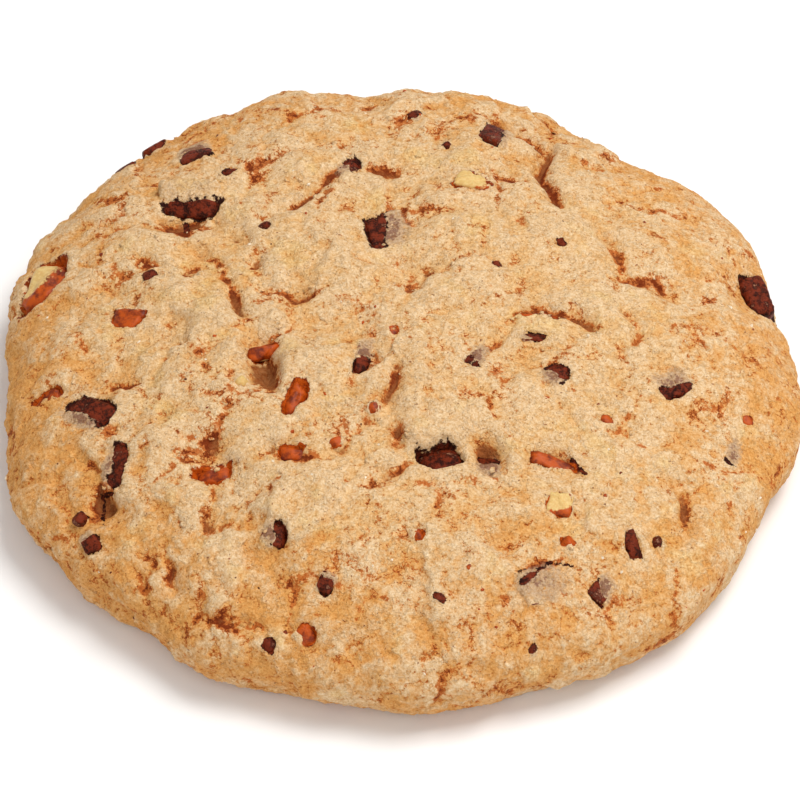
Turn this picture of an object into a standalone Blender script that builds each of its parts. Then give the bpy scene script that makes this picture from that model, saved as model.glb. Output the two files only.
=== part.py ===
"""A chocolate pecan cookie: a low round mound of crumbly dough that rests on its flat underside.

The dough is one closed solid. Its top is a dome with hills, hollows and cracks, and its smallest
bits of chocolate and nut are fused to it. Every larger piece of chocolate or pecan is a solid of
its own that sits in a pocket of the dough. All sizes below are in millimetres and degrees.
X runs to the right, +Y to the back and +Z up. The origin is the middle of the underside.
"""
import math

import bmesh
import bpy
import numpy as np
from mathutils import Euler, Matrix, Vector

MM = 0.001

# Driving sizes of the dough
MEAN_RADIUS = 35.5
HEIGHT = 13.3
WAIST_HEIGHT = 4.5
DOME_POWER = 2.6
SHOULDER_POWER = 1.8
FOOT_TUCK = 0.09
BOX_MIDDLE = (0.18, -0.10)
PROFILE_SAMPLES = 1200
GRID_CELLS = 58

# Slow waves of the rim: waves round the edge, height, and bearing of the first crest
RIM_WAVES = (
    (1, 0.26, 180),
    (2, 0.52, -28),
    (3, 0.12, 0),
    (4, 0.31, 32),
    (5, 0.17, 4),
    (6, 0.15, 20),
    (8, 0.32, -16),
    (9, 0.25, -6),
    (10, 0.17, -8),
    (12, 0.08, 11),
)

# Random swells of the skin: distance between crests, height and random seed
SWELLS = (
    (11.0, 0.42, 3),
    (5.2, 0.30, 8),
    (2.9, 0.14, 15),
)
FOOT_FADE = 0.07
WALL_CALM = 0.65
WALL_START = 0.66

# Hills of the top: x, y, radius, height
HILLS = (
    (-8.5, 30.5, 5.0, 0.9),
    (3.5, 31.0, 6.0, 0.8),
    (-8.0, 9.0, 6.0, 0.7),
    (7.5, 13.0, 7.0, 0.6),
    (5.0, 3.5, 4.0, 0.4),
    (21.0, 19.0, 6.0, 0.3),
    (16.0, 3.0, 4.0, 0.4),
    (-23.0, 11.0, 2.8, 0.7),
    (-12.0, 13.5, 2.6, 0.5),
    (-30.0, -3.0, 3.0, 0.5),
    (-18.0, 2.0, 4.0, 0.5),
    (-8.0, -6.5, 2.8, 0.8),
    (-13.5, -11.5, 3.0, 0.6),
    (-22.0, -13.0, 2.4, 0.5),
    (-28.0, -15.0, 3.5, 0.4),
    (3.0, -8.0, 3.4, 0.5),
    (-5.0, -19.5, 5.0, 0.5),
    (10.5, -12.0, 3.0, 0.4),
    (26.0, -19.5, 2.2, 0.5),
    (24.0, -1.0, 5.0, 0.3),
)

# Hollows of the top: x, y, half-length, half-width, bearing of the length, depth
HOLLOWS = (
    (-19.2, 13.6, 2.8, 1.5, 0, 1.9),
    (-11.7, -5.8, 2.6, 1.3, 95, 2.1),
    (3.3, -14.7, 2.1, 1.2, 10, 1.1),
    (7.6, -14.7, 1.8, 1.1, 100, 1.1),
    (14.7, -15.3, 2.8, 1.0, -15, 0.7),
    (-25.6, -17.8, 2.0, 1.1, 120, 0.9),
    (-16.1, -14.9, 2.4, 2.0, 100, 0.8),
    (-1.1, 11.2, 2.6, 2.4, 0, 0.5),
    (-3.0, -4.6, 1.4, 2.3, 0, 0.5),
    (31.0, 8.2, 3.0, 2.0, 80, 0.8),
    (34.2, 6.8, 1.3, 3.0, 90, 1.0),
    (-2.8, 33.5, 1.8, 3.0, 0, 0.7),
)

# Cracks of the top: depth, half-width and the points that each runs through
CRACKS = (
    (0.5, 1.0, ((-12.5, 11.9), (-9.6, 14.3), (-7.5, 16.5), (-5.5, 19.2), (-3.6, 19.2), (-0.6, 19.3))),
    (0.8, 0.9, ((9.0, 27.9), (11.6, 26.2), (13.7, 24.3), (13.1, 20.4), (14.2, 15.7))),
    (0.5, 0.9, ((-17.7, 9.3), (-15.5, 6.4), (-14.6, 3.4), (-14.2, 1.3))),
    (0.4, 0.9, ((-12.0, 3.9), (-10.5, 3.4), (-9.2, 2.6), (-7.5, 2.7), (-5.9, 3.7))),
    (0.4, 0.9, ((0.3, 1.6), (0.8, 3.7), (2.1, 5.6))),
    (0.5, 0.9, ((6.0, -5.0), (9.3, -1.3), (9.9, 1.0), (13.6, 0.9), (16.6, -0.1))),
    (0.5, 0.9, ((19.1, 10.7), (19.7, 8.8), (20.0, 6.0), (22.1, 6.3), (24.3, 4.4))),
    (0.4, 0.8, ((19.9, 2.1), (21.1, -0.7), (20.4, -2.0), (19.1, -3.2))),
    (0.5, 0.9, ((0.0, -4.8), (-0.6, -7.4), (-1.1, -9.3), (-0.6, -11.3), (0.0, -14.7))),
    (0.5, 0.9, ((-2.0, -18.0), (0.0, -16.3), (1.9, -15.2))),
    (0.4, 0.9, ((-11.7, -13.8), (-10.2, -15.5), (-8.0, -15.5), (-5.1, -14.8))),
    (0.5, 0.9, ((23.7, -16.0), (24.6, -16.7), (24.9, -20.4))),
    (0.5, 0.8, ((-20.0, -23.8), (-19.7, -24.5), (-19.3, -26.3))),
    (0.4, 0.8, ((-16.6, -28.9), (-14.6, -29.3), (-11.6, -30.3))),
)

# Browner strip under the lip of the top skin, at the lower left of the wall
LIP_BEARINGS = (196, 238)
LIP_HEIGHT = 3.6
LIP_DEPTH = 0.55
LIP_HALF_HEIGHT = 1.1

# Pieces in pockets of their own: name, x, y, length, width, thickness, turn, lean, how far it stands proud
CHOCOLATE = (
    ("chocolate_back_left", -18.8, 15.9, 6.0, 3.7, 3.4, -4, 10, 0.9),
    ("chocolate_left_back", -19.0, 23.8, 3.7, 3.4, 2.2, 12, 0, 0.25),
    ("chocolate_rim_upper", -22.9, 27.5, 2.9, 2.2, 1.8, 30, 0, 0.5),
    ("chocolate_rim_lower", -25.4, 24.7, 2.2, 1.7, 1.8, 40, 0, 0.5),
    ("chocolate_back_mid", -4.7, 19.6, 2.6, 1.9, 1.8, 38, 0, 0.2),
    ("chocolate_round", -1.1, 11.3, 4.8, 4.7, 3.0, 20, 0, 0.3),
    ("chocolate_back_right", 8.8, 24.7, 3.9, 2.9, 2.3, 70, 0, 0.35),
    ("chocolate_left", -27.2, -8.2, 5.1, 3.6, 2.5, -38, 0, 0.4),
    ("chocolate_left_low", -24.6, -14.5, 4.5, 2.0, 2.6, 76, 0, 0.45),
    ("chocolate_left_front", -26.6, -20.8, 2.2, 1.9, 1.8, 105, 0, 0.25),
    ("chocolate_mid", -3.1, -4.2, 5.2, 1.6, 1.9, 82, 0, 0.2),
    ("chocolate_mid_right", 6.7, -4.1, 3.1, 1.8, 1.8, 65, 0, 0.2),
    ("chocolate_arch", 11.5, -2.1, 2.6, 1.3, 1.4, 0, 0, 0.2),
    ("chocolate_right_mid", 13.6, -6.2, 2.6, 2.4, 1.8, -10, 0, 0.2),
    ("chocolate_right", 23.6, -5.9, 3.6, 3.3, 2.2, 30, 0, 0.2),
    ("chocolate_hole", 3.5, -14.9, 4.1, 3.0, 2.0, 8, 0, 0.2),
    ("chocolate_hollow", 7.7, -15.6, 2.9, 2.1, 1.6, 95, 0, 0.2),
    ("chocolate_front_left", -10.8, -22.9, 2.3, 2.3, 2.0, 70, 0, 0.25),
    ("chocolate_front_mid", -6.2, -27.2, 2.0, 1.5, 1.8, 65, 0, 0.25),
    ("chocolate_front", 12.4, -27.2, 5.3, 3.3, 2.4, 12, 0, 0.25),
    ("chocolate_front_right", 17.2, -26.9, 3.2, 2.1, 2.4, 60, 0, 0.3),
    ("chocolate_right_front", 19.7, -22.6, 4.1, 1.4, 1.8, 110, 0, 0.2),
    ("chocolate_far_right", 29.2, -11.3, 3.3, 1.5, 1.8, 75, 0, 0.2),
    ("chocolate_rim_right", 32.6, 8.9, 4.9, 3.3, 3.0, 110, 0, 0.5),
)

PECAN = (
    ("pecan_rim_left", -32.2, 8.8, 7.5, 4.3, 3.2, 70, 0, 0.7),
    ("pecan_left", -24.0, 1.5, 3.7, 2.8, 1.8, -20, 0, 0.3),
    ("pecan_far_left", -30.8, -5.7, 3.6, 1.9, 1.6, 10, 0, 0.2),
    ("pecan_upper_mid", -12.0, -3.4, 3.6, 1.9, 1.6, 15, 0, 0.3),
    ("pecan_curved", -9.2, -9.4, 4.6, 2.2, 2.0, 60, 0, 0.3),
    ("pecan_cluster", -9.4, -14.9, 3.0, 1.8, 1.5, -4, 0, 0.25),
    ("pecan_pebbly", -16.3, -15.2, 4.3, 4.2, 2.0, 80, 0, 0.3),
    ("pecan_slit", 13.2, -15.1, 4.7, 1.8, 1.7, -12, 0, 0.2),
    ("pecan_front", -8.3, -31.2, 2.7, 2.2, 1.8, 110, 0, 0.25),
    ("pecan_back", 6.4, 17.5, 5.0, 2.8, 1.6, -8, 0, 0.3),
    ("pecan_front_right", 13.7, -19.6, 2.6, 3.0, 1.8, 80, 0, 0.4),
    ("pecan_arch", 12.4, 0.3, 7.0, 1.6, 1.6, -6, 0, 0.3),
)

POCKET_GAP = 0.34
CORNER_REACH = {"chocolate": 0.78, "pecan": 0.66}
CORNER_JITTER = 0.24

# Small bits fused to the dough: x, y, width
BITS = (
    (-15.5, 19.5, 1.9),
    (-12.1, 11.5, 1.5),
    (-22.1, 6.2, 1.6),
    (1.4, 27.1, 1.9),
    (4.2, 22.6, 1.2),
    (14.6, 9.5, 1.5),
    (8.5, 6.4, 1.4),
    (-13.8, -7.1, 2.2),
    (-5.4, -14.0, 1.5),
    (-0.6, -1.6, 1.5),
    (-2.3, -10.4, 1.5),
    (14.4, -23.3, 1.7),
    (1.6, -23.2, 1.7),
    (22.2, -22.0, 1.5),
    (3.3, -29.0, 1.6),
    (-11.1, -31.6, 1.7),
    (11.3, -32.1, 1.4),
    (30.7, -7.8, 1.4),
    (-27.7, -18.5, 1.6),
    (18.0, -10.6, 1.6),
)
BIT_SINK = 0.10
BIT_JITTER = 0.22


def material(name, colour, roughness):
    """One plain surface: a base colour and how rough it is."""
    made = bpy.data.materials.new(name)
    made.use_nodes = True
    shader = made.node_tree.nodes["Principled BSDF"]
    shader.inputs["Base Color"].default_value = (*colour, 1.0)
    shader.inputs["Roughness"].default_value = roughness
    shader.inputs["Metallic"].default_value = 0.0
    made.diffuse_color = (*colour, 1.0)
    return made


def value_noise(across, along, cell, seed):
    """Random heights from -1 to 1, one for each corner of a square lattice, blended by a smooth step."""
    size = 64
    heights = np.random.RandomState(seed).uniform(-1.0, 1.0, (size, size))
    u = across / cell + size / 2
    v = along / cell + size / 2
    i = np.floor(u).astype(int)
    j = np.floor(v).astype(int)
    fu = (u - i) ** 2 * (3 - 2 * (u - i))
    fv = (v - j) ** 2 * (3 - 2 * (v - j))
    near = heights[i % size, j % size] * (1 - fu) + heights[(i + 1) % size, j % size] * fu
    far = heights[i % size, (j + 1) % size] * (1 - fu) + heights[(i + 1) % size, (j + 1) % size] * fu
    return near * (1 - fv) + far * fv


def rim_radius(bearing):
    """Radius of the widest ring towards a bearing in radians: the mean and its slow waves."""
    radius = MEAN_RADIUS + 0.0 * bearing
    for count, height, crest in RIM_WAVES:
        radius = radius + height * np.cos(count * (bearing - math.radians(crest)))
    return radius


def half_section():
    """Half section of the dough, evenly stepped: length along it, radius, height and outward normal.

    Above the waist radius = R sin(t)^(2/DOME_POWER), height = waist + (H - waist) cos(t)^(2/SHOULDER_POWER).
    Below it the wall curls in by FOOT_TUCK on a quarter ellipse down to the flat underside.
    """
    turn = np.linspace(0.0, math.pi / 2, PROFILE_SAMPLES)
    top_radius = MEAN_RADIUS * np.sin(turn) ** (2 / DOME_POWER)
    top_height = WAIST_HEIGHT + (HEIGHT - WAIST_HEIGHT) * np.cos(turn).clip(0.0) ** (2 / SHOULDER_POWER)
    wall_radius = MEAN_RADIUS * (1 - FOOT_TUCK * (1 - np.cos(turn)))
    wall_height = WAIST_HEIGHT * (1 - np.sin(turn))
    radius = np.concatenate((top_radius, wall_radius[1:]))
    height = np.concatenate((top_height, wall_height[1:]))
    length = np.concatenate(((0.0,), np.cumsum(np.hypot(np.diff(radius), np.diff(height)))))
    even = np.linspace(0.0, length[-1], PROFILE_SAMPLES)
    radius = np.interp(even, length, radius)
    height = np.interp(even, length, height)
    slope_out = np.gradient(radius, even)
    slope_up = np.gradient(height, even)
    size = np.hypot(slope_out, slope_up)
    return even, radius, height, -slope_up / size, slope_out / size


SECTION = half_section()
SKIN_LENGTH = SECTION[0][-1]


def unroll(x, y):
    """Place of a plan point on the unrolled skin, where distances are those along the surface."""
    bearing = np.arctan2(y, x)
    radius = np.hypot(x, y) / rim_radius(bearing) * MEAN_RADIUS
    over_top = SECTION[2] > WAIST_HEIGHT
    length = np.interp(radius, SECTION[1][over_top], SECTION[0][over_top])
    return length * np.cos(bearing), length * np.sin(bearing)


def line_distance(u, v, points):
    """Shortest distance from each place of the skin to a line through the given plan points."""
    places = [unroll(x, y) for x, y in points]
    nearest = np.full(np.shape(u), np.inf)
    for (u0, v0), (u1, v1) in zip(places, places[1:]):
        run = (u1 - u0, v1 - v0)
        share = ((u - u0) * run[0] + (v - v0) * run[1]) / (run[0] ** 2 + run[1] ** 2)
        share = np.clip(share, 0.0, 1.0)
        nearest = np.minimum(nearest, np.hypot(u - u0 - share * run[0], v - v0 - share * run[1]))
    return nearest


def lip_groove(u, v):
    """Depth of the groove below the lip: a band at one height that fades at both ends."""
    bearing = np.degrees(np.arctan2(v, u)) % 360
    height = np.interp(np.hypot(u, v), SECTION[0], SECTION[2])
    band = np.exp(-((height - LIP_HEIGHT) / LIP_HALF_HEIGHT) ** 2)
    start, end = LIP_BEARINGS
    fade = np.clip((bearing - start) / 8, 0, 1) * np.clip((end - bearing) / 8, 0, 1)
    on_wall = np.hypot(u, v) > 0.7 * SKIN_LENGTH
    return LIP_DEPTH * band * fade * on_wall


def relief(u, v):
    """Height of the skin over the plain mound: swells and hills, less hollows, cracks and lip."""
    height = np.zeros(np.shape(u))
    wall = np.clip((np.hypot(u, v) / SKIN_LENGTH - WALL_START) / (1 - WALL_START), 0, 1)
    for cell, amount, seed in SWELLS:
        height = height + amount * (1 - WALL_CALM * wall) * value_noise(u, v, cell, seed)
    for x, y, radius, rise in HILLS:
        hu, hv = unroll(x, y)
        height = height + rise * np.exp(-((u - hu) ** 2 + (v - hv) ** 2) / radius ** 2)
    for x, y, half_length, half_width, bearing, depth in HOLLOWS:
        hu, hv = unroll(x, y)
        turn = math.radians(bearing)
        along = (u - hu) * math.cos(turn) + (v - hv) * math.sin(turn)
        across = (v - hv) * math.cos(turn) - (u - hu) * math.sin(turn)
        height = height - depth * np.exp(-(along / half_length) ** 2 - (across / half_width) ** 2)
    for depth, half_width, points in CRACKS:
        height = height - depth * np.exp(-(line_distance(u, v, points) / half_width) ** 2)
    height = height - lip_groove(u, v)
    return height * np.clip((1 - np.hypot(u, v) / SKIN_LENGTH) / FOOT_FADE, 0, 1)


def skin(u, v):
    """Points of the dough's surface for places of the unrolled skin, with the middle of its box at 0, 0."""
    length = np.hypot(u, v)
    bearing = np.arctan2(v, u)
    radius, height, normal_out, normal_up = (np.interp(length, SECTION[0], part) for part in SECTION[1:])
    lift = relief(u, v)
    out = radius * rim_radius(bearing) / MEAN_RADIUS + normal_out * lift
    x = out * np.cos(bearing) - BOX_MIDDLE[0]
    y = out * np.sin(bearing) - BOX_MIDDLE[1]
    return np.stack((x, y, height + normal_up * lift), axis=-1)


def disc_grid(cells):
    """Square grid bent onto a disc: each square ring of the grid becomes a circle of even steps."""
    steps = np.linspace(-1.0, 1.0, cells + 1)
    gx, gy = np.meshgrid(steps, steps, indexing="ij")
    wide = np.abs(gx) >= np.abs(gy)
    ring = np.where(wide, gx, gy)
    safe = np.where(ring == 0, 1.0, ring)
    turn = np.where(wide, math.pi / 4 * gy / safe, math.pi / 2 - math.pi / 4 * gx / safe)
    return ring * np.cos(turn), ring * np.sin(turn)


def dough_mesh():
    """The dough before its pockets: the bent grid as its skin, and one flat face as its underside."""
    disc_x, disc_y = disc_grid(GRID_CELLS)
    points = skin(disc_x * SKIN_LENGTH, disc_y * SKIN_LENGTH).reshape(-1, 3)
    side = GRID_CELLS + 1
    number = np.arange(side * side).reshape(side, side)
    edge = np.concatenate((number[:-1, 0], number[-1, :-1], number[:0:-1, -1], number[0, :0:-1]))
    points[edge, 2] = 0.0
    faces = []
    for i in range(GRID_CELLS):
        for j in range(GRID_CELLS):
            a, b, c, d = number[i, j], number[i + 1, j], number[i + 1, j + 1], number[i, j + 1]
            same_sign = (i < GRID_CELLS / 2) == (j < GRID_CELLS / 2)
            faces += [(a, b, c), (a, c, d)] if same_sign else [(a, b, d), (b, c, d)]
    faces.append(tuple(edge[::-1]))
    mesh = bpy.data.meshes.new("dough")
    mesh.from_pydata((points * MM).tolist(), [], [tuple(int(n) for n in face) for face in faces])
    mesh.update()
    return mesh


def frame_on_skin(x, y, turn, lean):
    """Matrix that stands on the skin over a plan point: Z out of the dough, X turned by the bearing."""
    u, v = unroll(x, y)
    step = 0.8
    probe_u = np.array((u, u + step, u - step, u, u))
    probe_v = np.array((v, v, v, v + step, v - step))
    points = [Vector(point) for point in skin(probe_u, probe_v)]
    normal = (points[1] - points[2]).cross(points[3] - points[4]).normalized()
    ahead = Vector((math.cos(math.radians(turn)), math.sin(math.radians(turn)), 0.0))
    ahead = (ahead - normal * ahead.dot(normal)).normalized()
    side = normal.cross(ahead)
    axes = Matrix((ahead, side, normal)).transposed().to_4x4()
    return Matrix.Translation(points[0]) @ axes @ Euler((math.radians(lean), 0, 0)).to_matrix().to_4x4()


def lump_points(kind, seed, half_sizes):
    """Corners of one broken piece: eight jittered corners of a block and its six face middles."""
    rng = np.random.RandomState(seed)
    corners = np.array([(i, j, k) for i in (-1, 1) for j in (-1, 1) for k in (-1, 1)], dtype=float)
    middles = np.concatenate((np.eye(3), -np.eye(3)))
    corners *= CORNER_REACH[kind] + rng.uniform(-CORNER_JITTER, CORNER_JITTER, corners.shape)
    middles *= 1.0 + rng.uniform(-CORNER_JITTER, 0.0, (6, 1))
    middles[:, :2] += rng.uniform(-CORNER_JITTER, CORNER_JITTER, (6, 2))
    return np.concatenate((corners, middles)) * half_sizes


def hull_object(name, points, matrix, surface):
    """One closed convex solid round the given points, placed by a matrix in millimetres."""
    shape = bmesh.new()
    for point in points:
        shape.verts.new(matrix @ Vector(point) * MM)
    made = bmesh.ops.convex_hull(shape, input=shape.verts)
    loose = [part for part in made["geom_interior"] if isinstance(part, bmesh.types.BMVert)]
    bmesh.ops.delete(shape, geom=loose, context="VERTS")
    bmesh.ops.recalc_face_normals(shape, faces=shape.faces)
    mesh = bpy.data.meshes.new(name)
    shape.to_mesh(mesh)
    shape.free()
    mesh.materials.append(surface)
    made = bpy.data.objects.new(name, mesh)
    bpy.context.scene.collection.objects.link(made)
    return made


def embed(row, kind, seed, surface, pockets):
    """One piece in the dough and, in the collection of pockets, the same shape with room around it."""
    name, x, y, length, width, thickness, turn, lean, proud = row
    half_sizes = np.array((length, width, thickness)) / 2
    matrix = frame_on_skin(x, y, turn, lean) @ Matrix.Translation((0, 0, proud - half_sizes[2]))
    hull_object(name, lump_points(kind, seed, half_sizes), matrix, surface)
    pocket = hull_object("pocket_" + name, lump_points(kind, seed, half_sizes + POCKET_GAP), matrix, surface)
    move_to(pocket, pockets)


def bit(x, y, width, seed, surface, bits):
    """One small rough lump, half sunk in the dough, that will be fused to it."""
    rng = np.random.RandomState(seed)
    golden = (1 + math.sqrt(5)) / 2
    ring = [(0, i, j * golden) for i in (-1, 1) for j in (-1, 1)]
    points = np.array([np.roll(corner, turn) for corner in ring for turn in range(3)], dtype=float)
    points /= math.hypot(1, golden)
    points *= (width / 2) * (1 + rng.uniform(-BIT_JITTER, BIT_JITTER, (len(points), 1)))
    matrix = frame_on_skin(x, y, rng.uniform(0, 360), 0) @ Matrix.Translation((0, 0, -BIT_SINK * width))
    move_to(hull_object(f"bit_{seed}", points, matrix, surface), bits)


def move_to(thing, collection):
    """Take an object out of the scene's own collection and into a hidden one of cutters or bits."""
    bpy.context.scene.collection.objects.unlink(thing)
    collection.objects.link(thing)
    thing.hide_render = True
    thing.display_type = "WIRE"


def hidden_collection(name):
    """A collection for shapes that are only added to the dough or cut from it."""
    made = bpy.data.collections.new(name)
    bpy.context.scene.collection.children.link(made)
    return made


def boolean(thing, collection, operation):
    """Add a whole collection to an object or cut it away, apply the result and drop the collection."""
    modifier = thing.modifiers.new(operation.lower(), "BOOLEAN")
    modifier.operation = operation
    modifier.operand_type = "COLLECTION"
    modifier.collection = collection
    modifier.solver = "EXACT"
    with bpy.context.temp_override(object=thing, active_object=thing, selected_objects=[thing]):
        bpy.ops.object.modifier_apply(modifier=modifier.name)
    for used in list(collection.objects):
        bpy.data.objects.remove(used)
    bpy.data.collections.remove(collection)


def build():
    """The whole cookie: the dough with its fused bits and pockets, and every piece in its pocket."""
    for old in list(bpy.data.objects):
        bpy.data.objects.remove(old)
    dough_look = material("dough", (0.72, 0.43, 0.19), 0.85)
    looks = {
        "chocolate": material("chocolate", (0.045, 0.016, 0.010), 0.5),
        "pecan": material("pecan", (0.42, 0.13, 0.035), 0.55),
    }
    mesh = dough_mesh()
    mesh.materials.append(dough_look)
    dough = bpy.data.objects.new("dough", mesh)
    bpy.context.scene.collection.objects.link(dough)
    bits = hidden_collection("bits")
    for seed, (x, y, width) in enumerate(BITS, start=100):
        bit(x, y, width, seed, dough_look, bits)
    boolean(dough, bits, "UNION")
    pockets = hidden_collection("pockets")
    for kind, rows, first_seed in (("chocolate", CHOCOLATE, 200), ("pecan", PECAN, 300)):
        for seed, row in enumerate(rows, start=first_seed):
            embed(row, kind, seed, looks[kind], pockets)
    boolean(dough, pockets, "DIFFERENCE")
    dough.data.shade_smooth()


build()
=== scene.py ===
"""The looks of a chocolate pecan cookie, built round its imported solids.

The dough, every piece of chocolate and pecan, the small bits, the crumbs and the sugar grains are
surfaces worked out with numpy. Lengths are in millimetres until a mesh is made. X runs to the right,
+Y to the back and +Z up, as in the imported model.
"""
import math

import bpy
import numpy as np
from bpy.props import FloatProperty, FloatVectorProperty, IntProperty, PointerProperty
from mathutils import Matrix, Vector


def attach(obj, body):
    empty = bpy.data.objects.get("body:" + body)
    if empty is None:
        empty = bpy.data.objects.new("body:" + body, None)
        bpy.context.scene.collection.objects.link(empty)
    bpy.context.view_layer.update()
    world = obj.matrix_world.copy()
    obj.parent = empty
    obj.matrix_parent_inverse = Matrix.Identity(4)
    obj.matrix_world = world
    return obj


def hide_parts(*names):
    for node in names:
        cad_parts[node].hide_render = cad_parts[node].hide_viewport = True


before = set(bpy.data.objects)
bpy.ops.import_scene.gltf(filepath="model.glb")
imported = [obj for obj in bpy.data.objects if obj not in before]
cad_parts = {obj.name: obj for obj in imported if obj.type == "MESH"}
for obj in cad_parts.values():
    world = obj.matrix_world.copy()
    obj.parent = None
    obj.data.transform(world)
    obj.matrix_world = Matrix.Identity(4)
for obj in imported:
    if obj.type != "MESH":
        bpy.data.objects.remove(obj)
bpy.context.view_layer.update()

bl_info = {
    "name": "Chocolate Pecan Cookie",
    "version": (1, 0, 0),
    "blender": (4, 5, 0),
    "location": "3D View > Sidebar > Cookie",
    "description": "Builds the dough, chocolate, pecan, crumbs and stage of a baked cookie",
    "category": "Object",
}

MM = 0.001
NODES = sorted(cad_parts)

# Dough: the same driving sizes as its solid
MEAN_RADIUS = 35.5
HEIGHT = 13.3
WAIST_HEIGHT = 4.5
DOME_POWER = 2.6
SHOULDER_POWER = 1.8
FOOT_TUCK = 0.09
BOX_MIDDLE = (0.18, -0.10)
PROFILE_SAMPLES = 1200

# Slow waves of the rim: waves round the edge, height, and bearing of the first crest
RIM_WAVES = (
    (1, 0.26, 180),
    (2, 0.52, -28),
    (3, 0.12, 0),
    (4, 0.31, 32),
    (5, 0.17, 4),
    (6, 0.15, 20),
    (8, 0.32, -16),
    (9, 0.25, -6),
    (10, 0.17, -8),
    (12, 0.08, 11),
)

# Random swells of the skin: distance between crests, height and random seed
SWELLS = (
    (11.0, 0.42, 3),
    (5.2, 0.30, 8),
    (2.9, 0.14, 15),
)
FOOT_FADE = 0.07
TOP_ROOM = 14.35
WALL_CALM = 0.65
WALL_START = 0.66

# Hills of the top: x, y, radius, height
HILLS = (
    (-8.5, 30.5, 5.0, 0.9),
    (3.5, 31.0, 6.0, 0.8),
    (-8.0, 9.0, 6.0, 0.7),
    (7.5, 13.0, 7.0, 0.6),
    (5.0, 3.5, 4.0, 0.4),
    (21.0, 19.0, 6.0, 0.3),
    (16.0, 3.0, 4.0, 0.4),
    (-23.0, 11.0, 2.8, 0.7),
    (-12.0, 13.5, 2.6, 0.5),
    (-30.0, -3.0, 3.0, 0.5),
    (-18.0, 2.0, 4.0, 0.5),
    (-8.0, -6.5, 2.8, 0.8),
    (-13.5, -11.5, 3.0, 0.6),
    (-22.0, -13.0, 2.4, 0.5),
    (-28.0, -15.0, 3.5, 0.4),
    (3.0, -8.0, 3.4, 0.5),
    (-5.0, -19.5, 5.0, 0.5),
    (10.5, -12.0, 3.0, 0.4),
    (26.0, -19.5, 2.2, 0.5),
    (24.0, -1.0, 5.0, 0.3),
)

# Hollows of the top: x, y, half-length, half-width, bearing of the length, depth
HOLLOWS = (
    (-19.2, 13.6, 2.8, 1.5, 0, 1.9),
    (-11.7, -5.8, 2.6, 1.3, 95, 2.1),
    (3.3, -14.7, 2.1, 1.2, 10, 1.1),
    (7.6, -14.7, 1.8, 1.1, 100, 1.1),
    (14.7, -15.3, 2.8, 1.0, -15, 0.7),
    (-25.6, -17.8, 2.0, 1.1, 120, 0.9),
    (-16.1, -14.9, 2.4, 2.0, 100, 0.8),
    (-1.1, 11.2, 2.6, 2.4, 0, 0.5),
    (-3.0, -4.6, 1.4, 2.3, 0, 0.5),
    (31.0, 8.2, 3.0, 2.0, 80, 0.8),
    (34.2, 6.8, 1.3, 3.0, 90, 1.0),
    (-2.8, 33.5, 1.8, 3.0, 0, 0.7),
)

# Hollows with painted shade: x, y, half-widths along X and Y, how much crack colour is painted into them as
# shade (below 0 for less) and how much soft shade is painted into them
SOFT_SPOTS = (
    (-12.4, -5.8, 1.9, 1.2, -0.6, 0.75),
    (-19.3, 13.0, 1.7, 0.9, 1.0, 0.2),
    (7.7, -14.2, 0.9, 1.2, 0.25, 0.45),
)

# Cracks of the top: depth, half-width and the points that each runs through
CRACKS = (
    (0.5, 1.0, ((-12.5, 11.9), (-9.6, 14.3), (-7.5, 16.5), (-5.5, 19.2), (-3.6, 19.2), (-0.6, 19.3))),
    (0.8, 0.9, ((9.0, 27.9), (11.6, 26.2), (13.7, 24.3), (13.1, 20.4), (14.2, 15.7))),
    (0.5, 0.9, ((-17.7, 9.3), (-15.5, 6.4), (-14.6, 3.4), (-14.2, 1.3))),
    (0.4, 0.9, ((-12.0, 3.9), (-10.5, 3.4), (-9.2, 2.6), (-7.5, 2.7), (-5.9, 3.7))),
    (0.4, 0.9, ((0.3, 1.6), (0.8, 3.7), (2.1, 5.6))),
    (0.5, 0.9, ((6.0, -5.0), (9.3, -1.3), (9.9, 1.0), (13.6, 0.9), (16.6, -0.1))),
    (0.5, 0.9, ((19.1, 10.7), (19.7, 8.8), (20.0, 6.0), (22.1, 6.3), (24.3, 4.4))),
    (0.4, 0.8, ((19.9, 2.1), (21.1, -0.7), (20.4, -2.0), (19.1, -3.2))),
    (0.5, 0.9, ((0.0, -4.8), (-0.6, -7.4), (-1.1, -9.3), (-0.6, -11.3), (0.0, -14.7))),
    (0.5, 0.9, ((-2.0, -18.0), (0.0, -16.3), (1.9, -15.2))),
    (0.4, 0.9, ((-11.7, -13.8), (-10.2, -15.5), (-8.0, -15.5), (-5.1, -14.8))),
    (0.5, 0.9, ((23.7, -16.0), (24.6, -16.7), (24.9, -20.4))),
    (0.5, 0.8, ((-20.0, -23.8), (-19.7, -24.5), (-19.3, -26.3))),
    (0.4, 0.8, ((-16.6, -28.9), (-14.6, -29.3), (-11.6, -30.3))),
)

# Groove under the lip of the top skin, at the lower left of the wall; the shade painted into low places makes
# it browner
LIP_BEARINGS = (196, 238)
LIP_HEIGHT = 3.6
LIP_DEPTH = 0.55
LIP_HALF_HEIGHT = 1.1

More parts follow.
